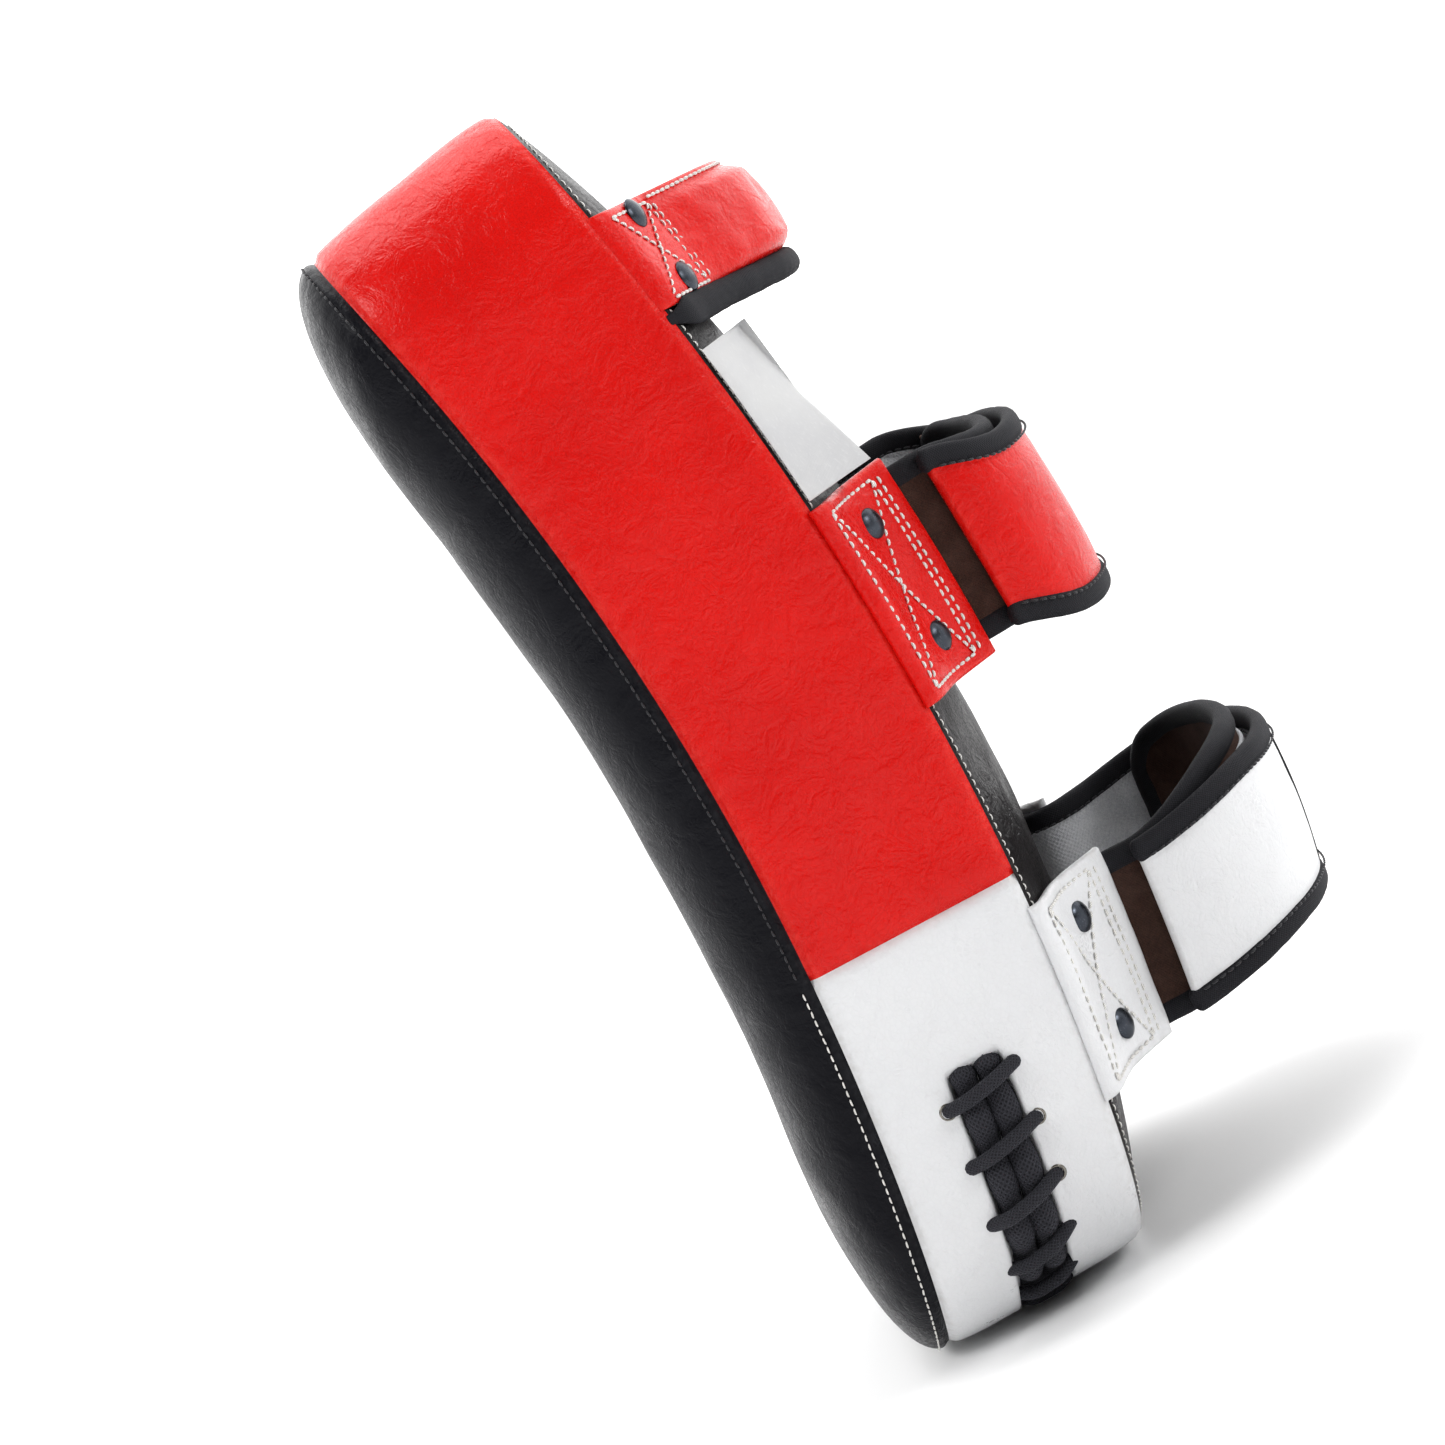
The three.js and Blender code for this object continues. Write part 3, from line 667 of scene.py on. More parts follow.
# ---- Camera, floor and light ----
def build_camera():
    yaw, pitch, roll = (math.radians(v) for v in (0.33, 6.48, -30.27))
    target = Vector((0, -0.0498, 0.1972))
    distance = 1.338
    back = Vector((math.cos(yaw) * math.cos(pitch), math.sin(yaw) * math.cos(pitch), math.sin(pitch)))
    right = Vector((0, 0, 1)).cross(back).normalized()
    up = back.cross(right)
    across = math.cos(roll) * right + math.sin(roll) * up
    upward = -math.sin(roll) * right + math.cos(roll) * up
    data = bpy.data.cameras.new("camera")
    data.sensor_width = 36
    data.lens = 104.56
    data.clip_end = 60
    camera = bpy.data.objects.new("camera", data)
    turn = Matrix((across, upward, back)).transposed().to_4x4()
    camera.matrix_world = Matrix.Translation(target + back * distance) @ turn
    bpy.context.scene.collection.objects.link(camera)
    bpy.context.scene.camera = camera


def build_stage():
    """A pale floor, a studio that is brighter behind the pad than before it, and three soft lamps."""
    build = Build()
    side = np.linspace(-6, 6, 13)
    x, y = np.meshgrid(side, side, indexing="ij")
    build.grid(np.stack([x, y, np.full_like(x, FLOOR_Z)], -1), x * 1000, y * 1000)
    finish = floor_finish("pale_floor", (0.93, 0.93, 0.93, 1), (0.9, 0.9, 0.9, 1))
    build.done("floor", [finish], weld=None)
    world = bpy.data.worlds.new("studio")
    bpy.context.scene.world = world
    world.use_nodes = True
    tree = world.node_tree
    side_way = tree.nodes.new("ShaderNodeSeparateXYZ")
    fall = tree.nodes.new("ShaderNodeMapRange")
    for key, value in (("From Min", -0.3), ("From Max", 0.3), ("To Min", 1.8), ("To Max", 0.24)):
        fall.inputs[key].default_value = value
    tree.links.new(tree.nodes.new("ShaderNodeTexCoord").outputs["Generated"], side_way.inputs[0])
    tree.links.new(side_way.outputs[0], fall.inputs["Value"])
    tree.links.new(fall.outputs[0], tree.nodes["Background"].inputs[1])
    tree.nodes["Background"].inputs[0].default_value = (1, 1, 1, 1)
    bpy.context.scene.view_settings.view_transform = "Standard"
    bpy.context.scene.view_settings.look = "Medium High Contrast"
    for name, spot, aim, size, power in (
        ("key", (1.2, -1.5, 1.7), (0, 0, 0.2), 1.2, 20),
        ("side", (0.9, 1.6, 1.1), (0, 0, 0.2), 0.7, 11),
        ("top", (-0.2, 0.1, 2.2), (0, 0, 0.2), 1.4, 10),
    ):
        data = bpy.data.lights.new(name, "AREA")
        data.shape = "RECTANGLE"
        data.size = size
        data.size_y = size * 0.7
        data.energy = power
        lamp = bpy.data.objects.new(name, data)
        way = (Vector(aim) - Vector(spot)).normalized()
        lamp.matrix_world = Matrix.Translation(spot) @ way.to_track_quat("-Z", "Y").to_matrix().to_4x4()
        bpy.context.scene.collection.objects.link(lamp)


# ---- Leather case ----
def pucker(run, away, seed, period=5.0, reach=9.0):
    """Small folds that run away from a seam and fade."""
    points = np.stack([run / period, away / 16.0, np.full_like(run, seed)], -1)
    return rough(points, 1.0) * np.exp(-away / reach)


def panel(name, side, crown, level, rows, material, seed, nodes):
    """A face of the case over rings of its outline, dipping into the seam at its edge."""
    count = 576
    d = np.linspace(0, PERIMETER, count + 1)
    point, tangent = outline(d)
    grid, wear = [], []
    for r in rows:
        height = level(r)
        away = math.hypot((1 - r) * HW, crown * height)
        inset = SEAM_DEPTH * math.exp(-(away / 1.6) ** 2)
        x = point[:, 0] * r + tangent[:, 1] * inset
        s = point[:, 1] * r - tangent[:, 0] * inset
        wide = 1 - math.exp(-away / 22)
        base = place(x, s, side * (H + crown * height))
        fold = 0.75 * pucker(d, np.full_like(d, away), seed) * (1 - math.exp(-away / 2.5))
        heave = 1.5 * wide * rough(base, 16.0, seed) + 0.5 * wide * rough(base, 45.0, seed + 3)
        slope = min(1.0, (1 - r) * HW / (crown * 0.8))
        out = fold + heave
        t = side * (H + crown * height + out * slope)
        grid.append(place(x - tangent[:, 1] * out * (1 - slope), s + tangent[:, 0] * out * (1 - slope), t))
        wear.append(np.full(count + 1, 0.5 * math.exp(-(away / 3.5) ** 2)))
    grid = np.array(grid)
    grid[:, -1] = grid[:, 0]
    build = Build()
    build.grid(grid, (1 - np.array(rows))[:, None] * HW, d[None, :], wear=np.array(wear))
    piece = build.done(name, [material])
    assign(piece, "pad", "black_leather", *nodes)


def build_panels():
    turn = np.radians(np.concatenate([np.linspace(0, 84, 40), [86, 87.5, 88.6, 89.4, 90]]))
    flat_rows = np.linspace(0.002, FRONT_FLAT, 46)[:-1]
    rows = np.concatenate([flat_rows, FRONT_FLAT + (1 - FRONT_FLAT) * np.sin(turn)])

    def front(r):
        edge = max(0.0, (r - FRONT_FLAT) / (1 - FRONT_FLAT))
        return math.sqrt(max(0.0, 1 - edge * edge))

    panel("strike_cover", -1, FRONT_CROWN, front, rows, BLACK, 1.7, ["strike_panel", "strike_foam"])

    def back(r):
        edge = max(0.0, (r - BACK_FLAT) / (1 - BACK_FLAT))
        return 1 - edge ** 2.3

    rows = np.concatenate([np.linspace(0.002, 0.94, 70), [0.955, 0.967, 0.977, 0.985, 0.991, 0.996, 1.0]])
    panel("arm_cover", 1, BACK_CROWN, back, rows, BROWN_BLACK, 9.2, ["arm_panel", "arm_foam", "middle_foam"])


COLOUR_SEAM = distance_at(COLOUR_SEAM_Z)
LACE_COUNT = int((PERIMETER - 2 * distance_at(LACE_TOP_Z)) / LACE_PITCH) + 1
LACE_START = (PERIMETER - (LACE_COUNT - 1) * LACE_PITCH) / 2
LACE_END = PERIMETER - LACE_START


def wall(name, start, end, material, seed, nodes, slot):
    """The case's side between two distances round the outline, with the lacing's slot where asked."""
    t = H * np.array([-1, -0.992, -0.98, -0.96, -0.93, -0.89, -0.83, -0.76, -0.68, -0.6, -0.52, -0.45, -0.39])
    t = np.concatenate([t, np.linspace(-11.5, 11.5, 24), -t[::-1]])
    d = start + stops(end - start, 4, 2.0)
    dd, tt = np.meshgrid(d, t, indexing="ij")
    rim = H - np.abs(tt)
    near = np.minimum(dd - start, end - dd)
    fade = (1 - np.exp(-rim / 2.5)) * (1 - np.exp(-near / 2.5))
    depth = SEAM_DEPTH * np.exp(-(rim / 1.6) ** 2) + 1.1 * np.exp(-(near / 1.5) ** 2)
    bulge = 1.6 * (1 - (tt / H) ** 4)
    base = on_wall(dd, 0, tt)
    fold = 0.6 * pucker(dd, rim, seed) + 0.55 * pucker(tt, near, seed + 5, 6.0, 7.0)
    heave = 1.5 * rough(base, 15.0, seed) + 0.6 * rough(base, 44.0, seed + 2)
    depth = depth - fade * (bulge + fold + heave * (1 - np.exp(-rim / 14)))
    if slot:
        inside = smooth(-np.abs(tt), -9.6, -8.0) * smooth(dd, LACE_START - 9, LACE_START - 3)
        depth = depth + 6.0 * inside * smooth(-dd, -LACE_END - 9, -LACE_END - 3)
        _, tangent = outline(dd)
        down = np.clip(-tangent[..., 0], 0, 1) ** 2
        depth = np.maximum(depth, -0.4 * down - 9 * (1 - down))
    wear = 0.55 * np.exp(-(rim / 3) ** 2) + 0.3 * np.exp(-(near / 2.5) ** 2)
    build = Build()
    build.grid(on_wall(dd, depth, tt), dd, tt, wear=wear)
    piece = build.done(name, [material])
    assign(piece, "pad", "white_leather" if slot else "red_leather", *nodes)


def build_walls():
    wall("red_side_cover", PERIMETER - COLOUR_SEAM, PERIMETER + COLOUR_SEAM, RED, 4.1,
         ["red_side_band"], False)
    wall("white_side_cover", COLOUR_SEAM, PERIMETER - COLOUR_SEAM, WHITE, 6.6,
         ["white_side_band", "eyelet_strip_front", "eyelet_strip_back"], True)


def build_case_stitches():
    """A row beside each seam, dark along the red front seam and white elsewhere."""
    white_start, white_end = COLOUR_SEAM + 2, PERIMETER - COLOUR_SEAM - 2
    rows = {
        "case_stitches_dark": (-1, white_end + 4, PERIMETER + COLOUR_SEAM - 2, BLACK_THREAD, 0.34),
        "case_stitches_lower": (-1, white_start, white_end, WHITE_THREAD, 0.3),
        "case_stitches_back": (1, 0.0, PERIMETER, WHITE_THREAD, 0.33),
    }
    for name, (side, start, end, material, radius) in rows.items():
        crown, away, flat, seed = (
            (FRONT_CROWN, 0.0042, FRONT_FLAT, 1.7) if side < 0 else (BACK_CROWN, 0.03, BACK_FLAT, 9.2)
        )
        d = np.linspace(start, end, int(end - start))
        point, tangent = outline(d)
        r = 1 - away
        edge = (r - flat) / (1 - flat)
        height = math.sqrt(1 - edge * edge) if side < 0 else 1 - edge ** 2.3
        gap = math.hypot(away * HW, crown * height)
        fold = 0.75 * pucker(np.mod(d, PERIMETER), np.full_like(d, gap), seed) * (1 - math.exp(-gap / 2.5))
        lift = 0.2 + fold - SEAM_DEPTH * math.exp(-(gap / 1.6) ** 2)
        slope = min(1.0, away * HW / (crown * 0.8))
        x = point[:, 0] * r - tangent[:, 1] * lift * (1 - slope)
        s = point[:, 1] * r + tangent[:, 0] * lift * (1 - slope)
        path = place(x, s, side * (H + crown * height + lift * slope))
        outward = place(x - tangent[:, 1], s + tangent[:, 0], side * (H + crown * height)) - path
        depthwise = place(x, s, side * (H + crown * height + 1)) - path
        lean = 0.8 if side < 0 else 0.15
        stitches(name, [(path, lean * outward + (1 - lean) * depthwise)], material, "pad", 2.9, radius=radius)


# ---- Laced closure ----
def on_closure(distance, depth, t, sink=6.2):
    """Places over the lacing, which sinks into the case under its lower end to leave the floor free."""
    _, tangent = outline(distance)
    down = np.clip(-tangent[..., 0], 0, 1) ** 2
    return on_wall(distance, np.asarray(depth, float) + sink * down, t)


def closure_route(distance, depth, t):
    points = on_closure(distance, depth, t)
    return points, on_closure(distance, np.asarray(depth, float) - 1, t) - points


def build_closure():
    d = np.linspace(LACE_START - WELT_OVERHANG, LACE_END + WELT_OVERHANG, 460)
    for name, side in (("front", -1), ("back", 1)):
        tight = np.cos(2 * math.pi * (d - LACE_START) / LACE_PITCH)
        points, up = closure_route(d, 0.6 + 0.5 * tight, np.full_like(d, side * WELT_OFFSET))
        build = Build()
        sweep(build, points, up, oval(8.4, 8.8, 20), 1 - 0.1 * tight)
        assign(build.done(f"woven_welt_{name}", [WELT]), "pad", "black_webbing", f"closure_welt_{name}")
    build_frays()
    route = []
    for i in range(LACE_COUNT):
        at = LACE_START + i * LACE_PITCH
        for t, depth, shift in ((-EYELET_OFFSET, 2.5, 2.2), (-EYELET_OFFSET, -0.6, 2.2), (-9.8, -3.2, 1.9),
                                (-5, -6.0, 1.0), (0, -6.4, 0), (5, -6.0, -1.0), (9.8, -3.2, -1.9),
                                (EYELET_OFFSET, -0.6, -2.2), (EYELET_OFFSET, 2.5, -2.2)):
            route.append((at + shift, depth, t))
        if i < LACE_COUNT - 1:
            route += [(at + 0.3 * LACE_PITCH, 8.0, 7.0), (at + 0.7 * LACE_PITCH, 8.0, -7.0)]
    route = spline(route, 0.9)
    points, up = closure_route(route[:, 0], route[:, 1], route[:, 2])
    build = Build()
    sweep(build, points, up, oval(4.7, 4.2, 12))
    assign(build.done("closing_lace", [BRAID]), "pad", "black_braid", "closure_lace")
    build_eyelets()


def build_frays():
    """Cut yarns at both ends of each welt."""
    build = Build()
    yarns, golden_angle = 46, 2.39996
    for end, way in ((LACE_START - WELT_OVERHANG, -1), (LACE_END + WELT_OVERHANG, 1)):
        for side in (-1, 1):
            for k in range(yarns):
                angle = k * golden_angle
                spread = math.sqrt((k + 0.5) / yarns)
                across = side * WELT_OFFSET + 4.0 * spread * math.cos(angle)
                height = 1.1 - 4.2 * spread * math.sin(angle)
                reach = 3.0 * math.sqrt(max(0.0, 1 - spread ** 2)) + 0.5 + 0.35 * math.sin(k * 5.1)
                d = np.linspace(end - way * 0.5, end + way * reach, 5)
                bow = np.linspace(0, 1, 5) ** 2
                points, up = closure_route(d, np.full(5, height) - bow * 0.9 * math.sin(k * 3.3),
                                           np.full(5, across) + bow * 0.9 * math.sin(k * 1.9))
                sweep(build, points, up, oval(0.62, 0.62, 6), np.array([1, 1, 1, 0.9, 0.6]))
    assign(build.done("welt_frays", [WELT], weld=None), "pad", "black_webbing")


def lathe(build, centre, out, profile, sides):
    """A profile of (radius, rise) in mm, turned about the way out from centre."""
    out = Vector(out).normalized()
    one = out.orthogonal().normalized()
    two = out.cross(one)
    angle = np.linspace(0, 2 * math.pi, sides + 1)
    around = [one * math.cos(a) + two * math.sin(a) for a in angle]
    rings = [[Vector(centre) + way * radius / 1000 + out * rise / 1000 for way in around]
             for radius, rise in profile]
    build.grid(np.array(rings), np.arange(len(profile))[:, None], angle[None, :])


def build_eyelets():
    build = Build()
    ring = [(1.7, -1.5), (1.8, 0.0), (2.1, 0.45), (2.6, 0.4), (2.9, -0.1), (2.9, -1.0)]
    for i in range(LACE_COUNT):
        for side in (-1, 1):
            at = LACE_START + i * LACE_PITCH - side * 2.2
            centre, up = closure_route(np.array([at]), np.array([-1.5]), np.array([side * EYELET_OFFSET]))
            lathe(build, centre[0], up[0], ring, 24)
    assign(build.done("eyelet_rims", [NICKEL]), "pad", "gunmetal")


# ---- Tabs, straps and handle ----
def mirrored(points):
    return [(-p[0], p[1]) for p in points]


def surface_line(path, centre, points, lift):
    """A line of (length, offset across) laid on a strip's face, with its normals."""
    points = resample(np.array(points, float), 0.6)
    return strip(path, centre, points[:, 0], points[:, 1], lift, np.sign(lift))


def dent(l, v, lines, depth=0.45, width=1.1):
    """A shallow valley along stitch lines on a strip."""
    total = np.zeros_like(l)
    for line in lines:
        p = resample(np.array(line, float), 1.5)
        gap = np.full(l.shape, 1e9)
        for a in p:
            gap = np.minimum(gap, (l - a[0]) ** 2 + (v - a[1]) ** 2)
        total = np.maximum(total, np.exp(-gap / width ** 2))
    return -depth * total


def tab_lines(length, low, high):
    """A sewn box with a cross in it and a second row along its outer edge."""
    a, b = 5.0, length - 9.0
    s0, s1 = low + 3.6, high - 3.6
    return [
        [(a, s0), (a, s1)], [(a, s1), (b, s1)], [(b, s1), (b, s0)], [(b, s0), (a, s0)],
        [(b + 2.8, s0), (b + 2.8, s1)],
        [(a, s0), ((a + b) / 2, (s0 + s1) / 2 - 1.5), (b, s1)],
        [(a, s1), ((a + b) / 2, (s0 + s1) / 2 + 1.5), (b, s0)],
    ]


def build_rivet(name, centre, out, node):
    cap = [(0.01, 1.75), (1.2, 1.7), (2.4, 1.48), (3.4, 1.12), (4.2, 0.68), (4.7, 0.3), (4.95, 0.05),
           (4.9, -0.25), (4.2, -0.4)]
    burr = [(0.6, 0.1), (1.6, -0.1), (1.9, -0.6), (2.6, -0.75), (3.5, -0.5), (3.7, -0.1), (3.6, 0.3)]
    build = Build()
    for foot, profile in ((2.1, cap), (-2.2, burr)):
        lathe(build, centre, out, [(radius, foot + rise) for radius, rise in profile], 32)
    assign(build.done(name, [METAL]), "pad", "gunmetal", node)


def tab_rivets(label, side, tab, offset, centre):
    path = curved(tab if side > 0 else mirrored(tab))
    edge = "right" if side > 0 else "left"
    for end, sign in (("upper", 1), ("lower", -1)):
        s = centre + sign * offset
        x, h = path.at(path.length / 2)
        xo, ho = path.at(path.length / 2, side * -1.0)
        foot = place(x, s, H + h)
        out = place(xo, s, H + ho) - foot
        if out[1] < 0:
            out = -out
        build_rivet(f"rivet_{label}_{edge}_{end}", foot, out, f"{label}_tab_{edge}_rivet_{end}")


def build_tab(strap, side):
    """A leather tab from the back seam outward, sewn with a crossed box."""
    label, half, centre = strap["name"], strap["half"], strap["centre"]
    edge = "right" if side > 0 else "left"
    points = [(101.2, -0.6)] + strap["tab"]
    path = curved(points if side > 0 else mirrored(points))
    lines = tab_lines(path.length, -half, half)
    out = -1 if side > 0 else 1

    def relief(l, v, face):
        sunk = dent(l, v, lines) if face == out else 0.6 * dent(l, v, lines)
        at, _ = strip(path, lambda h: centre, l, v)
        wave = 0.55 * rough(at, 60.0, side) + 0.25 * rough(at, 150.0, 3)
        flare = 0.9 * smooth(l, path.length - 8, path.length)
        return face * sunk + wave + out * flare * 0.4

    def rub(l, v):
        rim = np.minimum(np.minimum(l + 6, path.length - l), half - np.abs(v))
        return 0.6 * np.exp(-(rim / 1.6) ** 2)

    piece = slab(f"{label}_tab_leather_{edge}", path, (-half, half), 4.0, lambda h: centre,
                 [strap["leather"]], rim=1.6, step=1.5, relief=relief, wear=rub)
    assign(piece, "pad", strap["slot"], f"{label}_tab_{edge}")
    sewn = [surface_line(path, lambda h: centre, line, out * 1.75) for line in lines]
    stitches(f"{label}_tab_stitches_{edge}", sewn, WHITE_THREAD, "pad", pitch=3.1, radius=TAB_THREAD)
    tab_rivets(label, side, strap["tab"], strap["rivet"], centre)


UPPER = {
    "name": "upper", "centre": 19.0, "half": 33.0, "rivet": 19.0, "leather": RED, "slot": "red_leather",
    "tab": [(98, 3.8), (82, 11.5), (66, 26.5)],
    "inner": [(74, 15.4), (64.6, 24.5), (63.2, 36), (55, 49), (35, 59.5), (0, 63), (-35, 59.5), (-54, 50)],
    "closing": [(-73.5, 16), (-64.6, 26.5), (-68.0, 40), (-62.5, 54), (-41, 67), (0, 71.7), (41, 67),
                (62.5, 54), (69, 37)],
    "inner_lean": -6.0, "closing_lean": -8.0, "top": 64.0, "pivot": (-66.5, 28.0),
}
LOWER = {
    "name": "lower", "centre": -112.0, "half": 32.0, "rivet": 18.0, "leather": WHITE, "slot": "white_leather",
    "tab": [(98, 3.8), (80, 11.5), (63, 27.5)],
    "inner": [(71, 15.8), (61.8, 25.5), (63, 44), (59, 60), (45, 75), (24, 83.5), (0, 86), (-24, 83.5),
              (-45, 75), (-57, 62)],
    "closing": [(-70.5, 16.5), (-61.8, 27.5), (-68.6, 46), (-66.5, 64.5), (-52, 82), (-27, 92.5), (0, 95.5),
                (27, 92.5), (52, 82), (66.5, 64.5), (69.5, 38)],
    "inner_lean": 14.0, "closing_lean": 7.0, "top": 86.0, "pivot": (-63.5, 29.0),
}


def binding_run(name, path, centre, thick, end, hold, node, nose=False):
    """Folded tape along both edges of a strap, and round its free end where nose is set."""
    build = Build()
    edge = STRAP_HALF + BINDING_OUT
    l = np.linspace(0, end, int(end / 2) + 2)
    rows = [(l, np.full_like(l, sign * edge)) for sign in (1, -1)]
    if nose:
        radius = 9.0
        turn = np.linspace(0, math.pi / 2, 10)
        straight = l[l < end - radius]
        across = np.linspace(edge - radius, radius - edge, 30)[1:-1]
        l = np.concatenate([straight, end - radius + radius * np.sin(turn), np.full_like(across, end),
                            end - radius + radius * np.cos(turn), straight[::-1]])
        v = np.concatenate([np.full_like(straight, edge), edge - radius + radius * np.cos(turn), across,
                            radius - edge - radius * np.sin(turn), np.full_like(straight, -edge)])
        rows = [(l, v)]
    for l, v in rows:
        sweep(build, *strip(path, centre, l, v), oval(7.6, thick + 1.9, 18, 2.6),
              ripple=lambda g: 0.035 * rough(g, 130.0, STRAP_HALF) + 0.02 * rough(g, 420.0, 2.0))
    assign(build.done(name, [BINDING]), hold, "binding_tape", node)


def leaning(strap, amount):
    """The strap's middle along the pad by height: it leans away as it rises off its tabs."""
    return lambda h: strap["centre"] + amount * smooth(h, strap["tab"][2][1] + 8, strap["top"])


def soft_relief(path, centre, seed, size):
    """Slow unevenness along a strap that dies out under the tape of its edges."""
    def relief(l, v, face):
        base, _ = strip(path, centre, l, v)
        uneven = size * rough(base, 40.0, seed) + 0.3 * size * rough(base, 130.0, seed + 1)
        return uneven * smooth(STRAP_HALF + 1 - np.abs(v), 0, 7)
    return relief


def build_inner(strap):
    name, half = strap["name"], STRAP_HALF
    path, centre = curved(strap["inner"]), leaning(strap, strap["inner_lean"])
    band = slab(f"{name}_inner_band", path, (-half - 3.4, half + 3.4), INNER_THICK, centre, [LINING],
                rim=1.2, relief=soft_relief(path, centre, 2.0, 0.7))
    assign(band, "pad", "brown_lining", f"{name}_inner_strap")
    binding_run(f"{name}_inner_tape", path, centre, INNER_THICK, path.length, "pad",
                f"{name}_inner_binding", nose=True)
    loop = slab(f"{name}_loop_pile", path.shifted(-2.9), (-half + 3, half - 3), 1.6, centre, [LOOP], rim=0.8,
                ends=(0.3, 0.86))
    assign(loop, "pad", "loop_pile", f"{name}_loop_patch")


def build_cross_tape(path, centre, body):
    """The tape sewn across the lower closing strap, just past its crest."""
    v = np.linspace(-STRAP_HALF - 2, STRAP_HALF + 2, 40)
    at = np.full_like(v, path.length * 0.57)
    lift = 2.0 + 0.8 * np.cos(v / STRAP_HALF * math.pi / 2)
    build = Build()
    sweep(build, *strip(path, centre, at, v, lift), oval(7.0, 2.2, 16, 2.6))
    assign(build.done("lower_cross_tape", [BINDING]), body, "binding_tape")


def build_closing(strap):
    name, half = strap["name"], STRAP_HALF
    body = f"{name}_closing"
    path, centre = curved(strap["closing"]), leaning(strap, strap["closing_lean"])

    def bend(piece):
        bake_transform(piece)

    if strap is LOWER:
        build_cross_tape(path, centre, body)
    uneven = soft_relief(path, centre, 5.0, 0.6)

    def relief(l, v, face):
        full = face * 0.8 * np.cos(np.clip(v / half, -1, 1) * math.pi / 2)
        return uneven(l, v, face) + full * smooth(l, 0, 30)

    def rub(l, v):
        return 0.5 * np.exp(-((path.length - l) / 2.0) ** 2)

    band = slab(f"{name}_closing_leather", path, (-half - 2.6, half + 2.6), CLOSING_THICK, centre,
                [strap["leather"], LOOP], rim=1.6, relief=relief, wear=rub)
    assign(band, bend, strap["slot"], f"{name}_closing_strap")
    binding_run(f"{name}_closing_tape", path, centre, CLOSING_THICK, path.length - 1.0, bend,
                f"{name}_closing_binding")
    rows = []
    for sign in (1, -1):
        line = [(6.0, sign * (half + 0.4)), (path.length - 3, sign * (half + 0.4))]
        rows += [surface_line(path, centre, line, lift) for lift in (3.1, -3.1)]
    stitches(f"{name}_closing_stitches", rows, BLACK_THREAD, bend, radius=0.4)
    hook = slab(f"{name}_hook_tape", path.shifted(-2.4), (-half + 4, half - 4), 1.4, centre, [HOOK], rim=0.7,
                ends=(0.5, 0.93))
    assign(hook, body, "hook_tape", f"{name}_hook_patch")


def build_straps():
    for strap in (UPPER, LOWER):
        for side in (1, -1):
            build_tab(strap, side)
        build_inner(strap)
        build_closing(strap)


# ---- Padded handle and label ----
HANDLE = {
    "centre": 135.0, "lean": -8.0, "low": -13.5, "high": 20.0, "rivet": 11.5, "bend": (13, 33),
    "tab": [(98, 3.8), (84, 10), (70, 17)],
    "outer": [(101, 0.8), (97, 6.0), (84, 12.2), (70, 19.2), (55, 31.4), (33, 44.4), (0, 48.8)],
    "inner": [(100.5, -2.5), (98.5, 1.2), (84.8, 8.0), (70.8, 14.8), (51, 22.6), (29, 30.6), (0, 33.4)],
    "rim": [(100.2, -0.8), (97, 5.0), (84, 10.6), (70, 17.2), (53.5, 27.6), (31.5, 38.2), (0, 42.2)],
}


def handle_centre(h):
    return HANDLE["centre"] + 1.5 + HANDLE["lean"] * np.clip(h, 0, 48) / 42


def whole(key):
    half = HANDLE[key]
    return curved(half + mirrored(half[:-1])[::-1])


def handle_bend(piece):
    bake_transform(piece)


def fullness(l, last):
    """How far the handle has left its flat sewn ends for its padded middle, from 0 to 1."""
    return smooth(np.minimum(l, last - l), SEWN_END - 2, SEWN_END + 16)


def build_handle():
    outer, inner, rim = whole("outer"), whole("inner"), whole("rim")
    low, high, last = HANDLE["low"], HANDLE["high"], outer.length
    box = [
        [(5.5, high - 3.2), (SEWN_END, high - 3.2)], [(SEWN_END, high - 3.2), (SEWN_END, low + 2.5)],
        [(SEWN_END + 2.8, high - 4.0), (SEWN_END + 2.8, low + 2.5)],
        [(5.5, high - 3.2), (SEWN_END, low + 2.5)], [(SEWN_END, high - 3.2), (5.5, low + 2.5)],
        [(5.5, low + 1.6), (SEWN_END + 1, low + 1.6)],
    ]
    box += [[(last - l, v) for l, v in line] for line in box]
    hem = [(SEWN_END + 2, high - 2.0), (last - SEWN_END - 2, high - 2.0)]
    build_handle_cover(outer, inner, box + [hem])
    build_handle_roll(rim)

    def sewn(line, lift):
        points = resample(np.array(line, float), 0.6)
        (x, h), (xo, ho) = outer.at(points[:, 0]), inner.at(points[:, 0] / last * inner.length)
        s = handle_centre((h + ho) / 2) + points[:, 1]
        full = fullness(points[:, 0], last)
        on_hem = full * (points[:, 1] > high - 3) > 0
        part = np.where(on_hem, 0.5 + 0.5 * (1 - 0.54 * full), 1.0)
        out = place(x, s, H + h) - place(xo, s, H + ho)
        here = place(xo + (x - xo) * part, s, H + ho + (h - ho) * part)
        return here + lift / 1000 * out / np.linalg.norm(out, axis=1)[:, None], out

    rows = [sewn(line, -0.3) for line in box] + [sewn(hem, 0.1)]
    stitches("handle_stitches", rows, WHITE_THREAD, handle_bend, radius=TAB_THREAD)
    for side in (1, -1):
        tab_rivets("handle", side, HANDLE["tab"], HANDLE["rivet"], (low + high) / 2 + HANDLE["centre"])


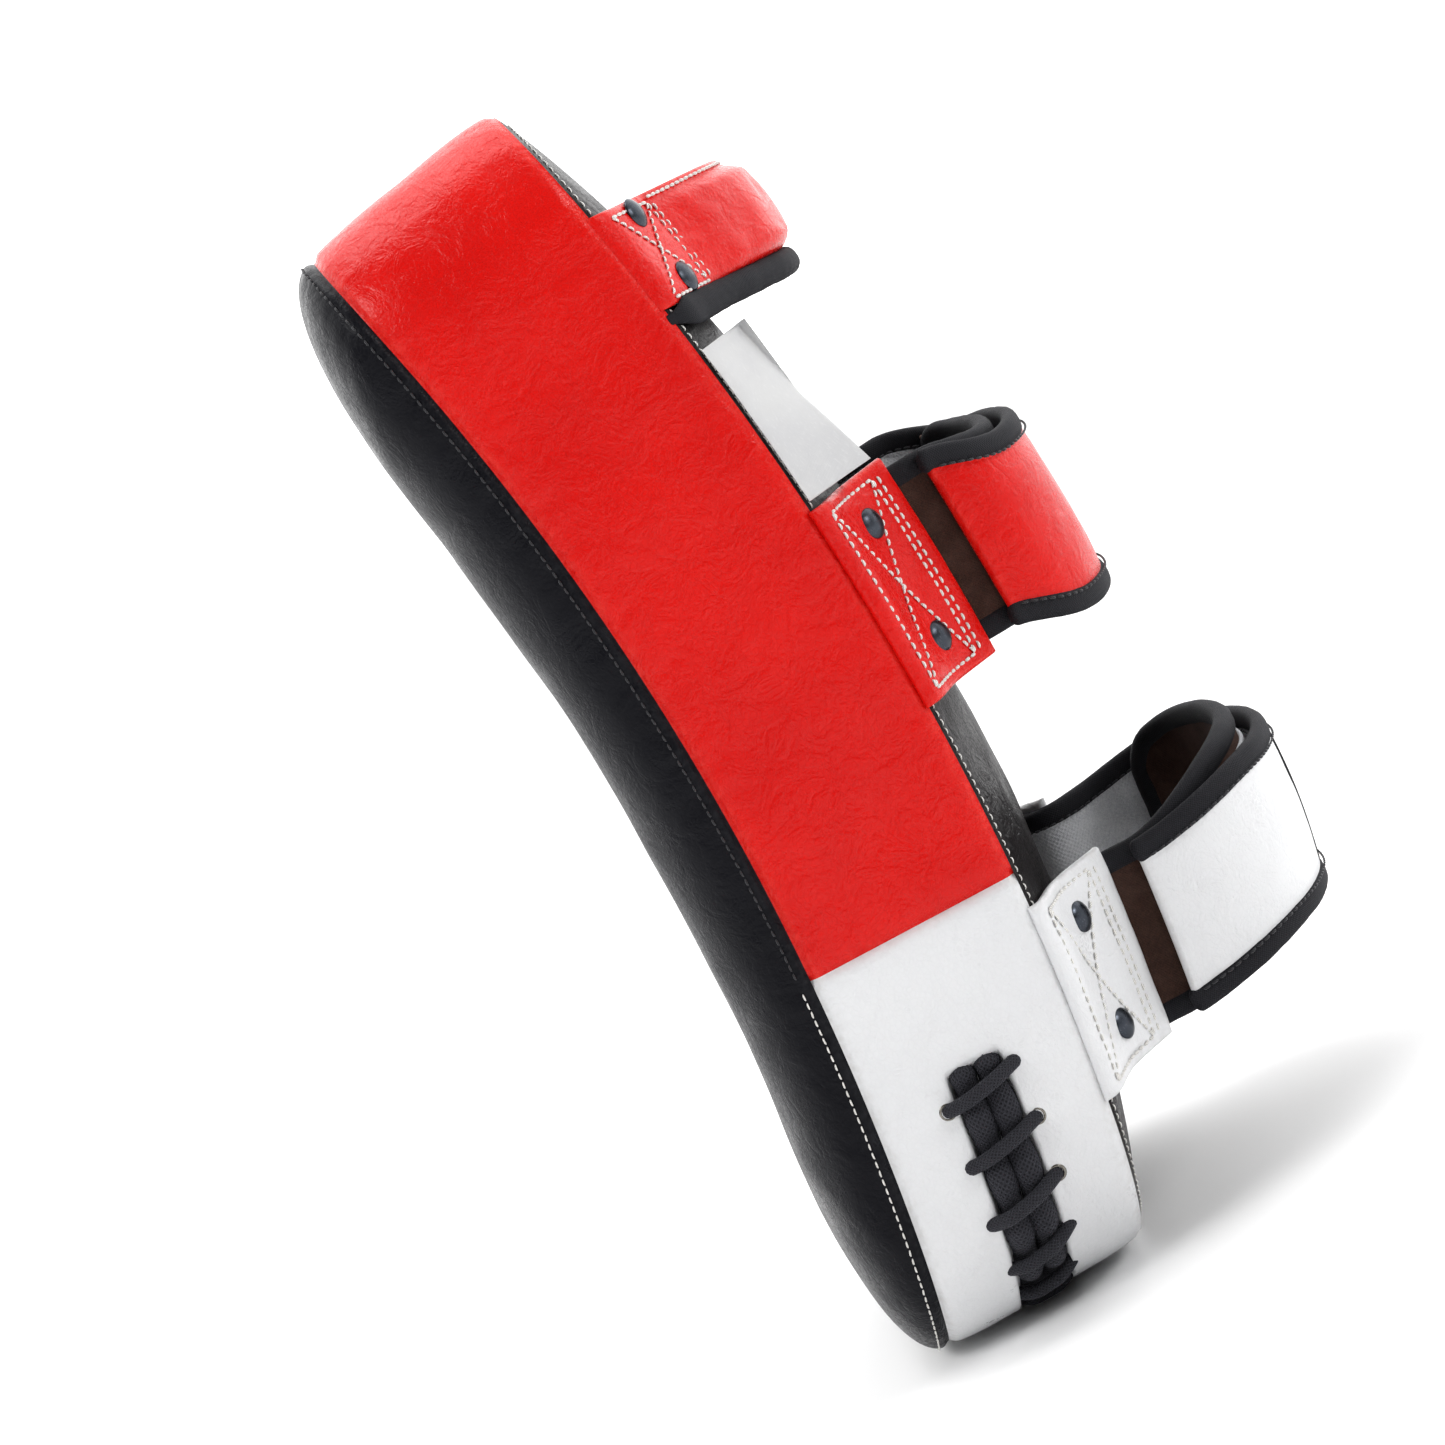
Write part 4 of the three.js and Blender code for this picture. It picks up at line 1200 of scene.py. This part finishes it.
def build_handle_cover(outer, inner, lines):
    """The padded leather arch, tabs and all, with a hem along its upper edge."""
    low, high, last = HANDLE["low"], HANDLE["high"], outer.length
    l = stops(last, 1.6, 1.3)
    v = low + stops(high - low, 3.5, 1.2)
    ll, vv = np.meshgrid(l, v, indexing="ij")
    near = np.minimum(ll, last - ll)
    hemmed = 0.42 + 0.58 * smooth(high - vv, 2.0, 8.0)
    full = fullness(ll, last)
    crown = rounding(vv - low, high - low, 3.5) * (1 - full) + np.minimum(
        rounding(vv - low, high - low, 5.5), hemmed * rounding(high - vv, 2 * (high - low), 1.0)) * full
    crown = crown * rounding(ll, last, 1.6)
    build = Build()
    for face in (1, -1):
        route, other = (outer, inner) if face > 0 else (inner, outer)
        x, h = route.at(ll / last * route.length)
        xo, ho = other.at(ll / last * other.length)
        mid_x, mid_h = (x + xo) / 2, (h + ho) / 2
        s = handle_centre(mid_h) + vv
        at = place(x, s, H + h)
        away = np.abs(near - SEWN_END - 3)
        fold = 1.4 * rough(np.stack([vv / 3.2, ll / 26.0, ll * 0], -1), 1.0) * np.exp(-away / 9.0)
        heave = 0.9 * rough(at, 42.0, 2.0) + 0.35 * rough(at, 120.0, 5.0)
        extra = (fold + heave) * np.where(near < SEWN_END, 0.45, 1.0)
        if face > 0:
            extra = extra + dent(ll, vv, lines, 0.5, 1.2)
        extra = extra + 1.4 * full * np.sin(np.clip((vv - low) / (high - low), 0, 1) * math.pi)
        gap_x, gap_h = x - mid_x, h - mid_h
        size = np.hypot(gap_x, gap_h) + 1e-6
        reach = (size + extra) * crown
        wear = 0.45 * np.exp(-(np.minimum(vv - low, high - vv) / 1.8) ** 2)
        points = place(mid_x + gap_x / size * reach, s, H + mid_h + gap_h / size * reach)
        build.grid(points, ll, vv, 0, face < 0, wear)
    cover = build.done("handle_leather", [RED])
    assign(cover, handle_bend, "red_leather", "handle_cover", "handle_core", "handle_liner",
           "handle_tab_right", "handle_tab_left")


def build_handle_roll(rim):
    """The black roll along the handle's lower edge, flat where it is sewn and tucked into the seam."""
    l = np.linspace(0, rim.length, 220)
    near = np.minimum(l, rim.length - l)
    grown = smooth(near, SEWN_END - 22, SEWN_END + 8)
    tucked = 0.35 + 0.65 * smooth(near, 0, 10)
    build = Build()
    sweep(build, *strip(rim, handle_centre, l, HANDLE["low"] - 3.4, way=-1.0), oval(8.8, 8.2, 22, 2.3),
          np.stack([tucked * (1.1 - 0.1 * grown), tucked * (0.42 + 0.58 * grown)], -1),
          ripple=lambda g: 0.05 * rough(g, 110.0, 4.0) + 0.03 * rough(g, 330.0, 6.0))
    assign(build.done("handle_edge_roll", [BINDING]), handle_bend, "black_leather", "handle_black_edge")


def build_label():
    path = curved([(99.9, 1.5), (97.4, 5.0), (92, 10.6), (84.2, 17.6)])

    def relief(l, v, face):
        lift = np.where(v > 0, 0.14, 0.33) * v * (l / path.length) ** 1.4
        return lift + 0.5 * rough(np.stack([l / 14, v / 18, l * 0], -1), 1.0)

    label = slab("blank_care_label", path, (-LABEL_HALF, LABEL_HALF), 0.45, lambda h: LABEL_CENTRE, [SATIN],
                 rim=0.3, step=1.0, relief=relief)
    assign(label, "label", "white_satin", "care_label")


build_camera()
build_stage()
build_panels()
build_walls()
build_case_stitches()
build_closure()
build_straps()
build_handle()
build_label()

bpy.context.view_layer.update()
